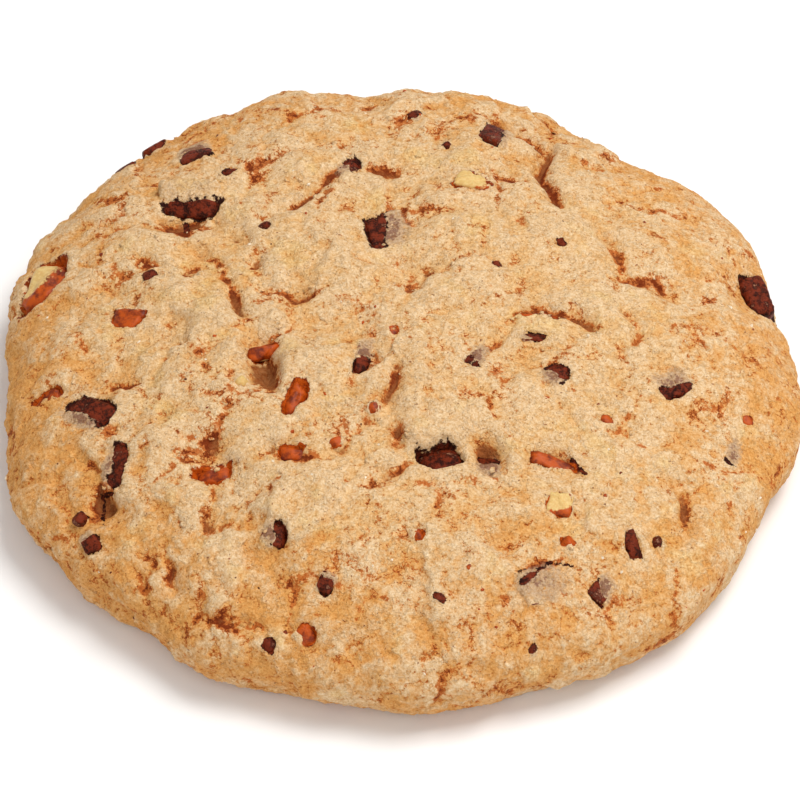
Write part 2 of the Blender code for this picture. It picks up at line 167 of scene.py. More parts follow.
# Fine cracks that only show close up: strength, how much lower the skin lies on the left of its run
# (less than 0 for the right), and the points that each runs through
FINE_CRACKS = (
    (0.6, 0.1, ((-13.5, 19.7), (-12.9, 20.5), (-10.4, 21.6))),
    (0.9, 0.25, ((-11.0, 14.0), (-9.6, 14.3), (-7.5, 16.5), (-6.6, 18.1), (-5.5, 19.2), (-5.0, 20.0),
        (-3.6, 18.9))),
    (0.7, -0.1, ((-3.6, 18.7), (-1.5, 20.2), (-0.6, 19.3), (0.5, 20.6))),
    (0.5, 0.0, ((-0.6, 17.1), (0.5, 15.0))),
    (0.9, -0.15, ((-17.7, 9.3), (-15.5, 6.4), (-14.6, 3.4), (-14.2, 1.3))),
    (0.7, 0.2, ((-12.0, 3.9), (-10.5, 3.4), (-9.2, 2.6), (-7.5, 2.7), (-5.9, 3.7))),
    (0.7, 0.1, ((0.5, 2.0), (0.8, 3.7), (1.9, 5.3))),
    (0.4, 0.0, ((-2.0, 4.9), (-0.6, 4.6))),
    (0.9, -0.3, ((9.1, 28.3), (10.1, 27.0), (11.6, 26.2), (12.7, 25.3), (13.7, 24.3))),
    (0.9, -0.35, ((13.7, 24.3), (13.1, 20.4), (13.6, 18.2), (14.2, 15.7), (14.5, 13.7))),
    (0.4, 0.0, ((16.4, 24.2), (17.4, 23.8))),
    (0.7, -0.15, ((19.1, 10.7), (19.7, 8.8), (20.0, 6.0))),
    (0.7, 0.15, ((20.0, 6.0), (22.1, 6.3), (23.8, 5.4), (24.3, 4.4))),
    (0.4, 0.15, ((19.1, 14.7), (20.0, 16.5), (22.5, 15.7), (24.0, 16.2), (25.7, 15.7))),
    (0.5, 0.1, ((9.4, 0.7), (10.5, 2.3), (10.6, 4.7), (11.0, 5.5))),
    (0.9, 0.2, ((9.5, -1.2), (9.4, -0.3), (10.1, 0.7), (12.1, 1.1), (14.0, 0.7), (15.5, 0.1),
        (17.0, -0.4))),
    (0.6, 0.1, ((6.5, -4.7), (8.0, -2.9), (9.6, -1.3))),
    (0.6, -0.15, ((19.9, 2.1), (21.1, -0.7), (20.4, -2.0), (19.4, -2.8))),
    (0.3, 0.05, ((29.4, 14.9), (30.0, 13.0), (30.6, 9.8))),
    (0.4, 0.0, ((26.2, 4.1), (27.1, 4.7), (28.7, 6.1))),
    (0.6, -0.8, ((-11.7, -2.6), (-10.6, -5.0), (-10.6, -6.6), (-10.3, -8.5), (-9.7, -9.9))),
    (0.8, 0.2, ((0.0, -4.8), (-0.6, -7.4), (-1.1, -9.3))),
    (0.8, 0.2, ((-0.6, -11.3), (0.0, -13.0), (0.0, -14.7))),
    (0.8, -0.15, ((-1.4, -17.2), (0.0, -16.3), (1.9, -15.2))),
    (0.9, -0.3, ((-11.1, -13.9), (-10.4, -14.9), (-8.6, -15.8), (-5.9, -15.1))),
    (0.5, 0.0, ((4.0, -18.4), (3.5, -19.5), (2.9, -20.3))),
    (0.7, 0.15, ((10.0, -6.0), (8.9, -7.1), (8.9, -9.0))),
    (0.8, 0.2, ((6.8, -13.5), (7.5, -15.8), (8.2, -18.1))),
    (0.8, -0.25, ((11.3, -15.2), (12.7, -14.2), (14.2, -14.1), (15.1, -15.0), (16.2, -16.4))),
    (0.6, 0.1, ((18.4, -11.7), (19.0, -9.9), (19.0, -9.4))),
    (0.6, 0.15, ((28.0, -14.8), (28.5, -13.8), (30.1, -12.8), (31.0, -12.3))),
    (0.7, 0.1, ((23.7, -16.0), (24.8, -15.2))),
    (0.9, -0.25, ((24.3, -16.7), (24.9, -17.9), (24.9, -19.9))),
    (0.6, 0.1, ((25.3, -16.6), (25.7, -15.9), (27.0, -16.3))),
    (1.0, 0.2, ((-24.0, -16.6), (-26.1, -16.0), (-26.4, -17.6), (-26.7, -18.9), (-25.6, -19.3))),
    (0.9, 0.2, ((-20.0, -23.8), (-19.7, -24.2), (-19.7, -25.3), (-19.1, -26.3))),
    (0.6, 0.1, ((-21.1, -27.7), (-20.5, -27.3), (-19.6, -28.4))),
    (0.5, 0.15, ((-16.5, -29.4), (-14.6, -29.8), (-12.1, -30.3), (-11.1, -31.3))),
    (0.8, 0.3, ((-14.5, -9.6), (-15.9, -12.3), (-16.6, -13.6), (-16.3, -15.2))),
    (0.5, 0.0, ((1.4, -30.1), (0.5, -31.4))),
    (0.8, -0.2, ((10.0, -27.3), (10.8, -26.2), (12.4, -25.4), (14.5, -24.9))),
    (0.5, 0.15, ((-22.7, -7.2), (-20.9, -9.3), (-19.4, -10.5))),
    (0.5, 0.15, ((-20.1, 13.9), (-19.3, 11.4))),
    (0.5, 0.15, ((-28.9, 1.3), (-27.7, -1.7), (-26.4, -1.9))),
    (0.4, 0.1, ((-27.4, 9.8), (-26.4, 6.2))),
    (0.5, 0.1, ((-22.1, 6.2), (-20.4, 6.5))),
    (0.5, 0.2, ((-18.5, -3.4), (-16.6, -5.5), (-15.0, -5.6))),
    (0.5, -0.15, ((-5.4, -10.5), (-4.5, -12.3), (-5.0, -14.4))),
    (1.3, 0.0, ((-21.4, 13.9), (-20.9, 13.5), (-19.5, 11.5), (-18.9, 13.5), (-17.9, 14.4))),
    (1.3, 0.0, ((-19.6, 14.2), (-19.6, 13.7), (-19.3, 11.3))),
    (0.8, 0.0, ((-20.3, 10.9), (-19.5, 9.4))),
    (0.6, 0.1, ((-24.2, 9.8), (-23.2, 8.5), (-22.2, 7.3), (-20.6, 6.7))),
    (0.6, -0.15, ((-15.7, -1.4), (-14.2, -0.1), (-12.1, 0.0))),
    (0.5, 0.0, ((-19.3, -1.7), (-17.5, -3.4), (-16.2, -2.2))),
    (0.5, 0.0, ((0.0, -21.6), (1.0, -23.2), (2.0, -24.2))),
    (0.4, 0.0, ((4.7, -25.6), (5.9, -24.7), (7.3, -24.8))),
    (0.5, 0.1, ((-23.1, -23.2), (-22.2, -24.6), (-21.2, -25.9))),
    (0.4, 0.0, ((4.9, 12.1), (6.2, 10.7), (8.1, 11.6))),
    (0.5, 0.0, ((5.8, -28.6), (6.7, -29.0), (8.0, -28.5))),
)
FINE_CRACK_WIDTH = 0.30
FINE_CRACK_REACH = 0.50
FINE_CRACK_DEPTH = 0.50
FINE_CRACK_RANGE = 9.0
LEDGE_RUN = (1.7, 0.9)
LEDGE_RISE = 0.35
LINE_END_FADE = 1.6

# Fine relief of the skin: width and height of the broken plates, widths of the crumbs and grains, and
# width and depth of the open borders between plates
BROAD_PLATE = (5.4, 1.10)
SMALL_PLATE = (2.5, 0.62)
CRUMB_CELL = 1.25
GRAIN_CELL = 0.58
BROAD_BORDER = 0.42
SMALL_BORDER = 0.28
BORDER_DEPTH = 0.34
BORDER_SHOWS = 0.70

# Dark edges where chocolate shows along a crack: half-width and the points that each runs through
DARK_EDGES = (
    (0.34, ((10.3, -27.2), (11.2, -26.4))),
    (0.16, ((11.2, -26.4), (12.8, -25.1), (14.7, -25.2))),
    (0.18, ((1.5, -14.9), (2.6, -14.9), (3.3, -14.7))),
    (0.17, ((-24.5, -16.8), (-26.2, -16.4), (-26.2, -18.4), (-25.7, -19.4))),
    (0.3, ((-19.6, 14.0), (-19.3, 12.3))),
    (0.22, ((14.9, -14.7), (16.1, -16.1))),
)

# Grid of the dough's skin, and rings of its underside
SKIN_CELLS = 296
UNDERSIDE_RINGS = 20

# Film of dough over each piece: bearing of its covered side, the share that is covered, how far the
# opening reaches (1 is the piece's outline, and more leaves a gap round it) and how much it is tinted
FILM = {
    "chocolate_back_left": (86, 0.60, 1.04, 0.26),
    "chocolate_left_back": (100, 0.50, 1.00, 1.00),
    "chocolate_rim_upper": (60, 0.15, 1.00, 0.60),
    "chocolate_rim_lower": (60, 0.15, 1.00, 0.60),
    "chocolate_back_mid": (215, 0.55, 1.02, 0.80),
    "chocolate_round": (5, 0.48, 1.00, 0.95),
    "chocolate_back_right": (-20, 0.35, 1.00, 1.00),
    "chocolate_left": (235, 0.36, 1.02, 1.00),
    "chocolate_left_low": (165, 0.36, 1.00, 1.00),
    "chocolate_left_front": (120, 0.30, 0.98, 1.15),
    "chocolate_mid": (75, 0.62, 0.96, 1.05),
    "chocolate_mid_right": (20, 0.55, 0.96, 1.05),
    "chocolate_arch": (200, 0.50, 1.00, 1.00),
    "chocolate_right_mid": (200, 0.50, 1.00, 1.00),
    "chocolate_right": (112, 0.58, 1.00, 0.90),
    "chocolate_hole": (120, 0.25, 1.04, 0.30),
    "chocolate_hollow": (270, 0.55, 1.00, 1.10),
    "chocolate_front_left": (190, 0.48, 1.00, 1.00),
    "chocolate_front_mid": (30, 0.40, 1.00, 1.05),
    "chocolate_front": (-50, 0.80, 0.96, 0.80),
    "chocolate_front_right": (10, 0.50, 1.00, 1.05),
    "chocolate_right_front": (120, 0.40, 0.98, 0.60),
    "chocolate_far_right": (30, 0.60, 1.00, 1.00),
    "chocolate_rim_right": (180, 0.05, 1.15, 0.50),
    "pecan_rim_left": (200, -0.60, 1.05, 0.0),
    "pecan_left": (90, 0.30, 1.00, 0.0),
    "pecan_far_left": (280, 0.45, 1.00, 0.0),
    "pecan_upper_mid": (250, 0.08, 1.02, 0.0),
    "pecan_curved": (150, 0.15, 1.00, 0.0),
    "pecan_cluster": (90, 0.15, 0.98, 0.0),
    "pecan_pebbly": (90, 0.55, 0.94, 0.0),
    "pecan_slit": (268, 0.40, 1.00, 0.0),
    "pecan_front": (200, 0.25, 0.96, 0.0),
    "pecan_back": (60, 0.30, 0.94, 0.0),
    "pecan_front_right": (40, 0.20, 0.94, 0.0),
    "pecan_arch": (270, 0.50, 1.00, 0.0),
}
# The same share, reach and tint for a small bit, and how far its bearing turns from one to the next
BIT_FILM = (0.30, 0.86, 0.55)
BIT_TURN = 0.618

# Small bits fused to the dough's solid: x, y, width and what each is made of
BITS = (
    (-15.5, 19.5, 1.9, "chocolate"),
    (-12.1, 11.5, 1.5, "chocolate"),
    (-22.1, 6.2, 1.6, "chocolate"),
    (1.4, 27.1, 1.9, "chocolate"),
    (4.2, 22.6, 1.2, "chocolate"),
    (14.6, 9.5, 1.5, "chocolate"),
    (8.5, 6.4, 1.4, "chocolate"),
    (-13.8, -7.1, 1.9, "kernel"),
    (-5.4, -14.0, 1.5, "pecan"),
    (-0.6, -1.6, 1.5, "pecan"),
    (-2.3, -10.4, 1.5, "pecan"),
    (14.4, -23.3, 1.7, "pecan"),
    (1.6, -23.2, 1.7, "pecan"),
    (22.2, -22.0, 1.5, "chocolate"),
    (3.3, -29.0, 1.6, "chocolate"),
    (-11.1, -31.6, 1.7, "chocolate"),
    (11.3, -32.1, 1.4, "chocolate"),
    (30.7, -7.8, 1.4, "pecan"),
    (-27.7, -18.5, 1.6, "chocolate"),
    (18.0, -10.6, 1.6, "pecan"),
)
BIT_SINK = 0.26
BIT_PLANES = 14

# How the skin opens over a piece: in millimetres how far it sinks below itself and below the piece's
# top, and how thick a film lies on the piece; as shares, how soft the shown edge and the step down are.
# The softness of a dark edge is in millimetres again
OPEN_BELOW_SKIN = 0.55
OPEN_BELOW_PIECE = 0.60
FILM_GAUGE = 0.06
SHOWN_SOFTNESS = 0.32
OPEN_STEP = 0.20
DARK_EDGE_SOFTNESS = 0.30

# Side of each nut piece that is broken flesh; the others show only their skin
FLESH_SIDE = {
    "pecan_rim_left": (-0.75, 0.75, 0.3),
    "pecan_back": (0.0, 0.3, 1.4),
    "pecan_front_right": (0.0, 0.3, 1.4),
    "pecan_slit": (0.0, -0.6, -0.6),
    "pecan_arch": (0.0, -0.6, -0.6),
}
FLESH_BELOW = (0.0, 0.0, -0.8)

# Specks of each kind: random seed, share of all specks, material and its mark, least and greatest size
SPECKS = {
    "chocolate": (821, 0.30, "dark_chocolate", "dust", 0.2, 0.12, 0.20),
    "pecan": (823, 0.70, "pecan_nut", "flesh", 0.1, 0.14, 0.34),
}
GRAIN_SIZES = (0.12, 0.26)
SCATTER_REACH = 0.93
CHIP_GRID = (30, 44)

# How much the grain's shade changes each part of the dough's colour, and the bump's distance in metres
GRAIN_TINT = {"Red": 0.80, "Green": 1.42, "Blue": 2.30}
GRAIN_BUMP = 0.00025

# Stage: place in metres, width, power in watts and colour of each lamp
LAMPS = {
    "key": ((0.16, 0.06, 0.45), 0.24, 1.68, (1.0, 0.985, 0.96)),
    "front": ((0.05, -0.40, 0.30), 0.50, 0.60, (1.0, 0.99, 0.98)),
}
WORLD_STRENGTH = 0.535
AIM = (0.0, -2.9, 5.5)
FLOOR_RADIUS = 3000.0
FLOOR_CORNERS = 96
FLOOR_SHADE = 0.93

# Kinds of shader group socket
VALUE = "NodeSocketFloat"
COLOUR = "NodeSocketColor"
PLACE = "NodeSocketVector"


def linear(red, green, blue):
    """A display colour, each part from 0 to 255, as the linear colour that a shader takes."""
    parts = np.array((red, green, blue)) / 255.0
    low = parts / 12.92
    high = ((parts + 0.055) / 1.055) ** 2.4
    return tuple(float(part) for part in np.where(parts <= 0.04045, low, high))


def colour_setting(name, description, red, green, blue):
    """A colour that a user may change, with its default given as a display colour."""
    return FloatVectorProperty(
        name=name, description=description, subtype="COLOR", default=linear(red, green, blue)
    )


def count_setting(name, description, default, most):
    """A number of things that a user may change."""
    return IntProperty(name=name, description=description, default=default, min=0, max=most)


class DoughSettings(bpy.types.PropertyGroup):
    """Colours and relief of the baked dough."""

    # The material also uses these baked colours as painted shade: tan to brown in low places, pale on raised
    # ones
    pale: colour_setting("Pale", "Colour of the raised, least baked dough", 223, 187, 142)
    tan: colour_setting("Tan", "Colour of most of the skin", 221, 176, 120)
    golden: colour_setting("Golden", "Colour of the better baked patches and of the rim", 215, 151, 80)
    caramel: colour_setting("Caramel", "Colour inside cracks and pits", 186, 97, 38)
    brown: colour_setting("Brown", "Colour of the deepest cracks and of the darkest specks", 120, 46, 14)
    # Painted shade: a soft brown laid into the deepest hollows
    hollow_shade: colour_setting("Hollow shade", "Soft colour of the deepest hollows", 150, 88, 46)
    yellow: colour_setting("Yellow", "Colour of patches with more egg and nut in them", 224, 182, 108)
    film: colour_setting("Film", "Colour of the thin dough over a piece of chocolate", 193, 157, 120)
    thin_film: colour_setting("Thin film", "Colour where chocolate nearly shows through", 134, 92, 72)
    piece_dark: colour_setting("Piece dark", "Colour of the darkest broken chocolate", 42, 8, 0)
    crumb_height: FloatProperty(
        name="Crumb height",
        description="How strongly crumbs and flakes stand out of the skin, as a share of the usual",
        default=1.0,
        min=0.0,
        max=2.0,
        subtype="FACTOR",
    )


class PieceSettings(bpy.types.PropertyGroup):
    """Colours of the chocolate, the pecan and the sugar."""

    chocolate: colour_setting("Chocolate", "Colour of a clean face of dark chocolate", 116, 41, 16)
    bloom: colour_setting("Bloom", "Colour of chocolate dulled by fat and flour", 146, 92, 68)
    skin: colour_setting("Nut skin", "Colour of the pecan's skin", 184, 76, 4)
    furrow: colour_setting("Nut furrow", "Colour of the furrows in the pecan's skin", 100, 28, 2)
    flesh: colour_setting("Nut flesh", "Colour of the pecan's broken faces", 222, 190, 126)
    flesh_shade: colour_setting("Nut flesh shade", "Colour of the darker parts of those faces", 208, 168, 100)
    sugar: colour_setting("Sugar", "Colour of the sugar grains", 242, 226, 200)
    sugar_shade: colour_setting("Sugar shade", "Colour of the darker parts of the grains", 226, 198, 162)


class ScatterSettings(bpy.types.PropertyGroup):
    """How many loose small things lie in the skin."""

    crumbs: count_setting("Crumbs", "Number of dough crumbs", 1500, 9000)
    specks: count_setting("Specks", "Number of tiny chocolate and pecan specks", 70, 600)
    grains: count_setting("Sugar grains", "Number of sugar grains", 40, 800)


class StageSettings(bpy.types.PropertyGroup):
    """The camera of the photograph."""

    elevation: FloatProperty(
        name="Elevation",
        description="Height of the camera above the horizon",
        subtype="ANGLE",
        default=math.radians(49.0),
    )
    distance: FloatProperty(
        name="Distance",
        description="Distance from the camera to the point it looks at",
        subtype="DISTANCE",
        unit="LENGTH",
        default=0.3943,
    )
    lens: FloatProperty(
        name="Focal length",
        description="Focal length of the camera, in millimetres, on a 36 mm sensor",
        default=200.0,
    )


def value_noise(across, along, cell, seed):
    """Random heights from -1 to 1, one for each corner of a square lattice, blended by a smooth step."""
    size = 64
    heights = np.random.RandomState(seed).uniform(-1.0, 1.0, (size, size))
    u = across / cell + size / 2
    v = along / cell + size / 2
    i = np.floor(u).astype(int)
    j = np.floor(v).astype(int)
    fu = (u - i) ** 2 * (3 - 2 * (u - i))
    fv = (v - j) ** 2 * (3 - 2 * (v - j))
    near = heights[i % size, j % size] * (1 - fu) + heights[(i + 1) % size, j % size] * fu
    far = heights[i % size, (j + 1) % size] * (1 - fu) + heights[(i + 1) % size, (j + 1) % size] * fu
    return near * (1 - fv) + far * fv


def cloud_noise(u, v, cell, seed, octaves=3):
    """Value noise summed over octaves, each half as wide and half as high, scaled back to about -1 to 1."""
    total = np.zeros(np.shape(u))
    reach = 0.0
    for octave in range(octaves):
        share = 0.5 ** octave
        total = total + share * value_noise(u + 3.1 * octave, v - 1.7 * octave, cell * share, seed + octave)
        reach += share
    return total / reach


def cell_noise(u, v, cell, seed):
    """Nearest and second nearest distance to one random point per lattice square, in cells, and the
    nearest point's own random value from 0 to 1."""
    size = 97
    rng = np.random.RandomState(seed)
    points = rng.uniform(0.0, 1.0, (size, size, 3))
    gu = u / cell + size / 2
    gv = v / cell + size / 2
    i = np.floor(gu).astype(int)
    j = np.floor(gv).astype(int)
    first = np.full(np.shape(u), 9.0)
    second = np.full(np.shape(u), 9.0)
    value = np.zeros(np.shape(u))
    for di in (-1, 0, 1):
        for dj in (-1, 0, 1):
            spot = points[(i + di) % size, (j + dj) % size]
            away = np.hypot(i + di + spot[..., 0] - gu, j + dj + spot[..., 1] - gv)
            second = np.minimum(second, np.maximum(first, away))
            value = np.where(away < first, spot[..., 2], value)
            first = np.minimum(first, away)
    return first, second, value


def smooth_step(low, high, value):
    """0 below low, 1 above high and a smooth rise between."""
    share = np.clip((value - low) / (high - low), 0.0, 1.0)
    return share * share * (3 - 2 * share)


def rim_radius(bearing):
    """Radius of the widest ring towards a bearing in radians: the mean and its slow waves."""
    radius = MEAN_RADIUS + 0.0 * bearing
    for count, height, crest in RIM_WAVES:
        radius = radius + height * np.cos(count * (bearing - math.radians(crest)))
    return radius


def half_section():
    """Half section of the dough, evenly stepped: length along it, radius, height and outward normal.

    Above the waist radius = R sin(t)^(2/DOME_POWER), height = waist + (H - waist) cos(t)^(2/SHOULDER_POWER).
    Below it the wall curls in by FOOT_TUCK on a quarter ellipse down to the flat underside.
    """
    turn = np.linspace(0.0, math.pi / 2, PROFILE_SAMPLES)
    top_radius = MEAN_RADIUS * np.sin(turn) ** (2 / DOME_POWER)
    top_height = WAIST_HEIGHT + (HEIGHT - WAIST_HEIGHT) * np.cos(turn).clip(0.0) ** (2 / SHOULDER_POWER)
    wall_radius = MEAN_RADIUS * (1 - FOOT_TUCK * (1 - np.cos(turn)))
    wall_height = WAIST_HEIGHT * (1 - np.sin(turn))
    radius = np.concatenate((top_radius, wall_radius[1:]))
    height = np.concatenate((top_height, wall_height[1:]))
    length = np.concatenate(((0.0,), np.cumsum(np.hypot(np.diff(radius), np.diff(height)))))
    even = np.linspace(0.0, length[-1], PROFILE_SAMPLES)
    radius = np.interp(even, length, radius)
    height = np.interp(even, length, height)
    slope_out = np.gradient(radius, even)
    slope_up = np.gradient(height, even)
    size = np.hypot(slope_out, slope_up)
    return even, radius, height, -slope_up / size, slope_out / size


SECTION = half_section()
SKIN_LENGTH = SECTION[0][-1]


def unroll(x, y):
    """Place of a plan point on the unrolled skin, where distances are those along the surface."""
    bearing = np.arctan2(y, x)
    radius = np.hypot(x, y) / rim_radius(bearing) * MEAN_RADIUS
    over_top = SECTION[2] > WAIST_HEIGHT
    length = np.interp(radius, SECTION[1][over_top], SECTION[0][over_top])
    return length * np.cos(bearing), length * np.sin(bearing)


def lip_groove(u, v):
    """Depth of the groove below the lip: a band at one height that fades at both ends."""
    bearing = np.degrees(np.arctan2(v, u)) % 360
    height = np.interp(np.hypot(u, v), SECTION[0], SECTION[2])
    band = np.exp(-((height - LIP_HEIGHT) / LIP_HALF_HEIGHT) ** 2)
    start, end = LIP_BEARINGS
    fade = np.clip((bearing - start) / 8, 0, 1) * np.clip((end - bearing) / 8, 0, 1)
    on_wall = np.hypot(u, v) > 0.7 * SKIN_LENGTH
    return LIP_DEPTH * band * fade * on_wall


def foot_fade(u, v):
    """1 over the top and wall, falling to 0 at the flat underside."""
    return np.clip((1 - np.hypot(u, v) / SKIN_LENGTH) / FOOT_FADE, 0, 1)


def broad_relief(u, v):
    """Height of the skin over the plain mound, as on the solid: swells and hills, less hollows and cracks."""
    height = np.zeros(np.shape(u))
    wall = np.clip((np.hypot(u, v) / SKIN_LENGTH - WALL_START) / (1 - WALL_START), 0, 1)
    for cell, amount, seed in SWELLS:
        height = height + amount * (1 - WALL_CALM * wall) * value_noise(u, v, cell, seed)
    for x, y, radius, rise in HILLS:
        hu, hv = unroll(x, y)
        height = height + rise * np.exp(-((u - hu) ** 2 + (v - hv) ** 2) / radius ** 2)
    for x, y, half_length, half_width, bearing, depth in HOLLOWS:
        hu, hv = unroll(x, y)
        turn = math.radians(bearing)
        along = (u - hu) * math.cos(turn) + (v - hv) * math.sin(turn)
        across = (v - hv) * math.cos(turn) - (u - hu) * math.sin(turn)
        height = height - depth * np.exp(-(along / half_length) ** 2 - (across / half_width) ** 2)
    for depth, half_width, points in CRACKS:
        height = height - depth * np.exp(-(line_side(u, v, points)[0] / half_width) ** 2)
    return (height - lip_groove(u, v)) * foot_fade(u, v)


def mound(u, v):
    """Points and outward normals of the plain mound for places of the unrolled skin."""
    length = np.hypot(u, v)
    bearing = np.arctan2(v, u)
    radius, height, normal_out, normal_up = (np.interp(length, SECTION[0], part) for part in SECTION[1:])
    out = radius * rim_radius(bearing) / MEAN_RADIUS
    cosine, sine = np.cos(bearing), np.sin(bearing)
    points = np.stack((out * cosine - BOX_MIDDLE[0], out * sine - BOX_MIDDLE[1], height), axis=-1)
    normals = np.stack((normal_out * cosine, normal_out * sine, normal_up), axis=-1)
    return points, normals


def crumbliness(u, v):
    """How rough the skin is, 0 to 1: most at the middle left, least at the right and on the wall."""
    rough = 0.55 + 0.45 * np.exp(-((u + 14) ** 2 / 17 ** 2 + (v + 3) ** 2 / 16 ** 2))
    calm = 0.36 * smooth_step(18, 30, u) - 0.10 * smooth_step(34, 40, np.hypot(u, v))
    patch = 0.22 * cloud_noise(u, v, 7.5, 41)
    return np.clip(rough - calm + patch, 0.12, 1.0)


def line_side(u, v, points):
    """Distance to a line through plan points, which side of it each place is on (1 on the left of its
    run, -1 on the right) and a fade from 0 at both ends of the line to 1 away from them."""
    places = [unroll(x, y) for x, y in points]
    nearest = np.full(np.shape(u), np.inf)
    side = np.zeros(np.shape(u))
    for (u0, v0), (u1, v1) in zip(places, places[1:]):
        run = (u1 - u0, v1 - v0)
        share = ((u - u0) * run[0] + (v - v0) * run[1]) / (run[0] ** 2 + run[1] ** 2)
        share = np.clip(share, 0.0, 1.0)
        away = np.hypot(u - u0 - share * run[0], v - v0 - share * run[1])
        left = np.sign(run[0] * (v - v0) - run[1] * (u - u0))
        side = np.where(away < nearest, left, side)
        nearest = np.minimum(nearest, away)
    ends = [np.hypot(u - place[0], v - place[1]) for place in (places[0], places[-1])]
    return nearest, side, smooth_step(0.0, LINE_END_FADE, np.minimum(*ends))


def fine_cracks(u, v, wu, wv):
    """Height of the fine cracks and their ledges, and how deep in a crack each place is.

    A crack opens and closes along its run; the skin on its low side drops by the row's amount and
    rises back over LEDGE_RUN, and the high side stands up by LEDGE_RISE of it.
    """
    height = np.zeros(np.shape(u))
    depth = np.zeros(np.shape(u))
    crack = np.zeros(np.shape(u))
    for strength, drop, points in FINE_CRACKS:
        place_u, place_v = unroll(*points[len(points) // 2])
        near = np.hypot(u - place_u, v - place_v) < FINE_CRACK_RANGE
        away, side, fade = line_side(wu[near], wv[near], points)
        swell = 1 + 0.9 * cloud_noise(u[near], v[near], 1.6, 91)
        width = FINE_CRACK_WIDTH * (0.45 + 0.75 * strength) * swell
        opened = strength * smooth_step(0.1, 0.6, swell)
        depth[near] = np.maximum(depth[near], opened * np.exp(-(away / width) ** 2))
        nearness = np.clip(1.25 - away / (FINE_CRACK_REACH * (0.5 + 0.5 * swell)), 0, 1.1)
        crack[near] = np.maximum(crack[near], (0.35 + 0.65 * opened) * fade * nearness)
        low = np.exp(-(away / LEDGE_RUN[0]) ** 2) * (side * np.sign(drop) > 0)
        high = np.exp(-(away / LEDGE_RUN[1]) ** 2) * (side * np.sign(drop) < 0)
        height[near] += abs(drop) * fade * (LEDGE_RISE * high - low)
    return spread(height, 1) - FINE_CRACK_DEPTH * spread(depth, 1), spread(crack, 1)


def soft_spot(u, v, x, y, half_x, half_y):
    """A bell of height 1 over a plan point: exp(-(across / half_x)^2 - (along / half_y)^2)."""
    place_u, place_v = unroll(x, y)
    return np.exp(-((u - place_u) / half_x) ** 2 - ((v - place_v) / half_y) ** 2)


def drift(u, v, seed):
    """How far each place is pushed aside, so that plates and crumbs get ragged borders."""
    return 0.62 * cloud_noise(u, v, 1.9, seed) + 0.30 * cloud_noise(u, v, 0.7, seed + 1, 2)


def plates(wu, wv, cell, seed):
    """Flat plates that the skin has broken into: each one's level from -0.5 to 0.5, with a steep step
    between neighbours, and the distance to the nearest border in millimetres."""
    first, second, level = cell_noise(wu, wv, cell, seed)
    return spread(level - 0.5, 1), (second - first) * cell * 0.6


def fine_relief(u, v, amount):
    """Height of plates, crumbs and fine cracks, and how near each place is to an open border or crack, with
    crack colour painted as shade into the SOFT_SPOTS hollows.

    Plates of two sizes lie at random levels; their borders open in places. Crumbs are low domes in
    random cells. The nearness falls off evenly, for the material to break its edge up.
    """
    rough = crumbliness(u, v)
    wu, wv = u + drift(u, v, 51), v + drift(u, v, 54)
    broad_level, broad_edge = plates(wu, wv, BROAD_PLATE[0], 64)
    small_level, small_edge = plates(wu + 9, wv - 4, SMALL_PLATE[0], 65)
    height = rough * (BROAD_PLATE[1] * broad_level + SMALL_PLATE[1] * small_level)
    height = height + 0.85 * rough * cloud_noise(u, v, 3.8, 61, 2)
    broad_open = smooth_step(-0.10, 0.40, cloud_noise(u, v, 3.1, 66, 2))
    small_open = smooth_step(-0.15, 0.40, cloud_noise(u + 7, v, 2.6, 69, 2)) * smooth_step(0.35, 0.8, rough)
    border = np.maximum(
        np.clip(1.2 - broad_edge / BROAD_BORDER, 0, 1) * broad_open,
        0.8 * np.clip(1.2 - small_edge / SMALL_BORDER, 0, 1) * small_open,
    )
    border = spread(border, 1)
    height = height - BORDER_DEPTH * border * rough
    first, _, level = cell_noise(wu, wv, CRUMB_CELL, 67)
    height = height + rough * (0.20 * (0.4 - first ** 2) + 0.22 * (level - 0.5))
    first, _, level = cell_noise(wu + 3, wv + 2, GRAIN_CELL, 71)
    height = height + (0.4 + 0.6 * rough) * (0.15 * (0.5 - first) + 0.13 * (level - 0.5))
    height = height + 0.06 * cloud_noise(u, v, 1.1, 73) + 0.05 * cloud_noise(u, v, 0.5, 77, 2)
    cracked, crack = fine_cracks(u, v, wu, wv)
    height = height * amount + cracked
    inside = np.maximum(crack, BORDER_SHOWS * border)
    # Painted shade: each SOFT_SPOTS hollow adds its share here, so crack colour is painted into it as shade
    for *spot, crack_shade_share, _ in SOFT_SPOTS:
        inside = inside + crack_shade_share * soft_spot(u, v, *spot)
    return height * foot_fade(u, v), np.clip(inside, 0.0, 1.4) * foot_fade(u, v), rough


def disc_grid(cells):
    """Square grid bent onto a disc: each square ring of the grid becomes a circle of even steps."""
    steps = np.linspace(-1.0, 1.0, cells + 1)
    gx, gy = np.meshgrid(steps, steps, indexing="ij")
    wide = np.abs(gx) >= np.abs(gy)
    ring = np.where(wide, gx, gy)
    safe = np.where(ring == 0, 1.0, ring)
    turn = np.where(wide, math.pi / 4 * gy / safe, math.pi / 2 - math.pi / 4 * gx / safe)
    return ring * np.cos(turn), ring * np.sin(turn)


def spread(field, passes):
    """A grid of values blurred by its neighbours: each pass averages along both directions."""
    for _ in range(passes):
        padded = np.pad(field, 1, mode="edge")
        rows = 0.25 * padded[:-2, 1:-1] + 0.5 * padded[1:-1, 1:-1] + 0.25 * padded[2:, 1:-1]
        padded = np.pad(rows, 1, mode="edge")
        field = 0.25 * padded[1:-1, :-2] + 0.5 * padded[1:-1, 1:-1] + 0.25 * padded[1:-1, 2:]
    return field


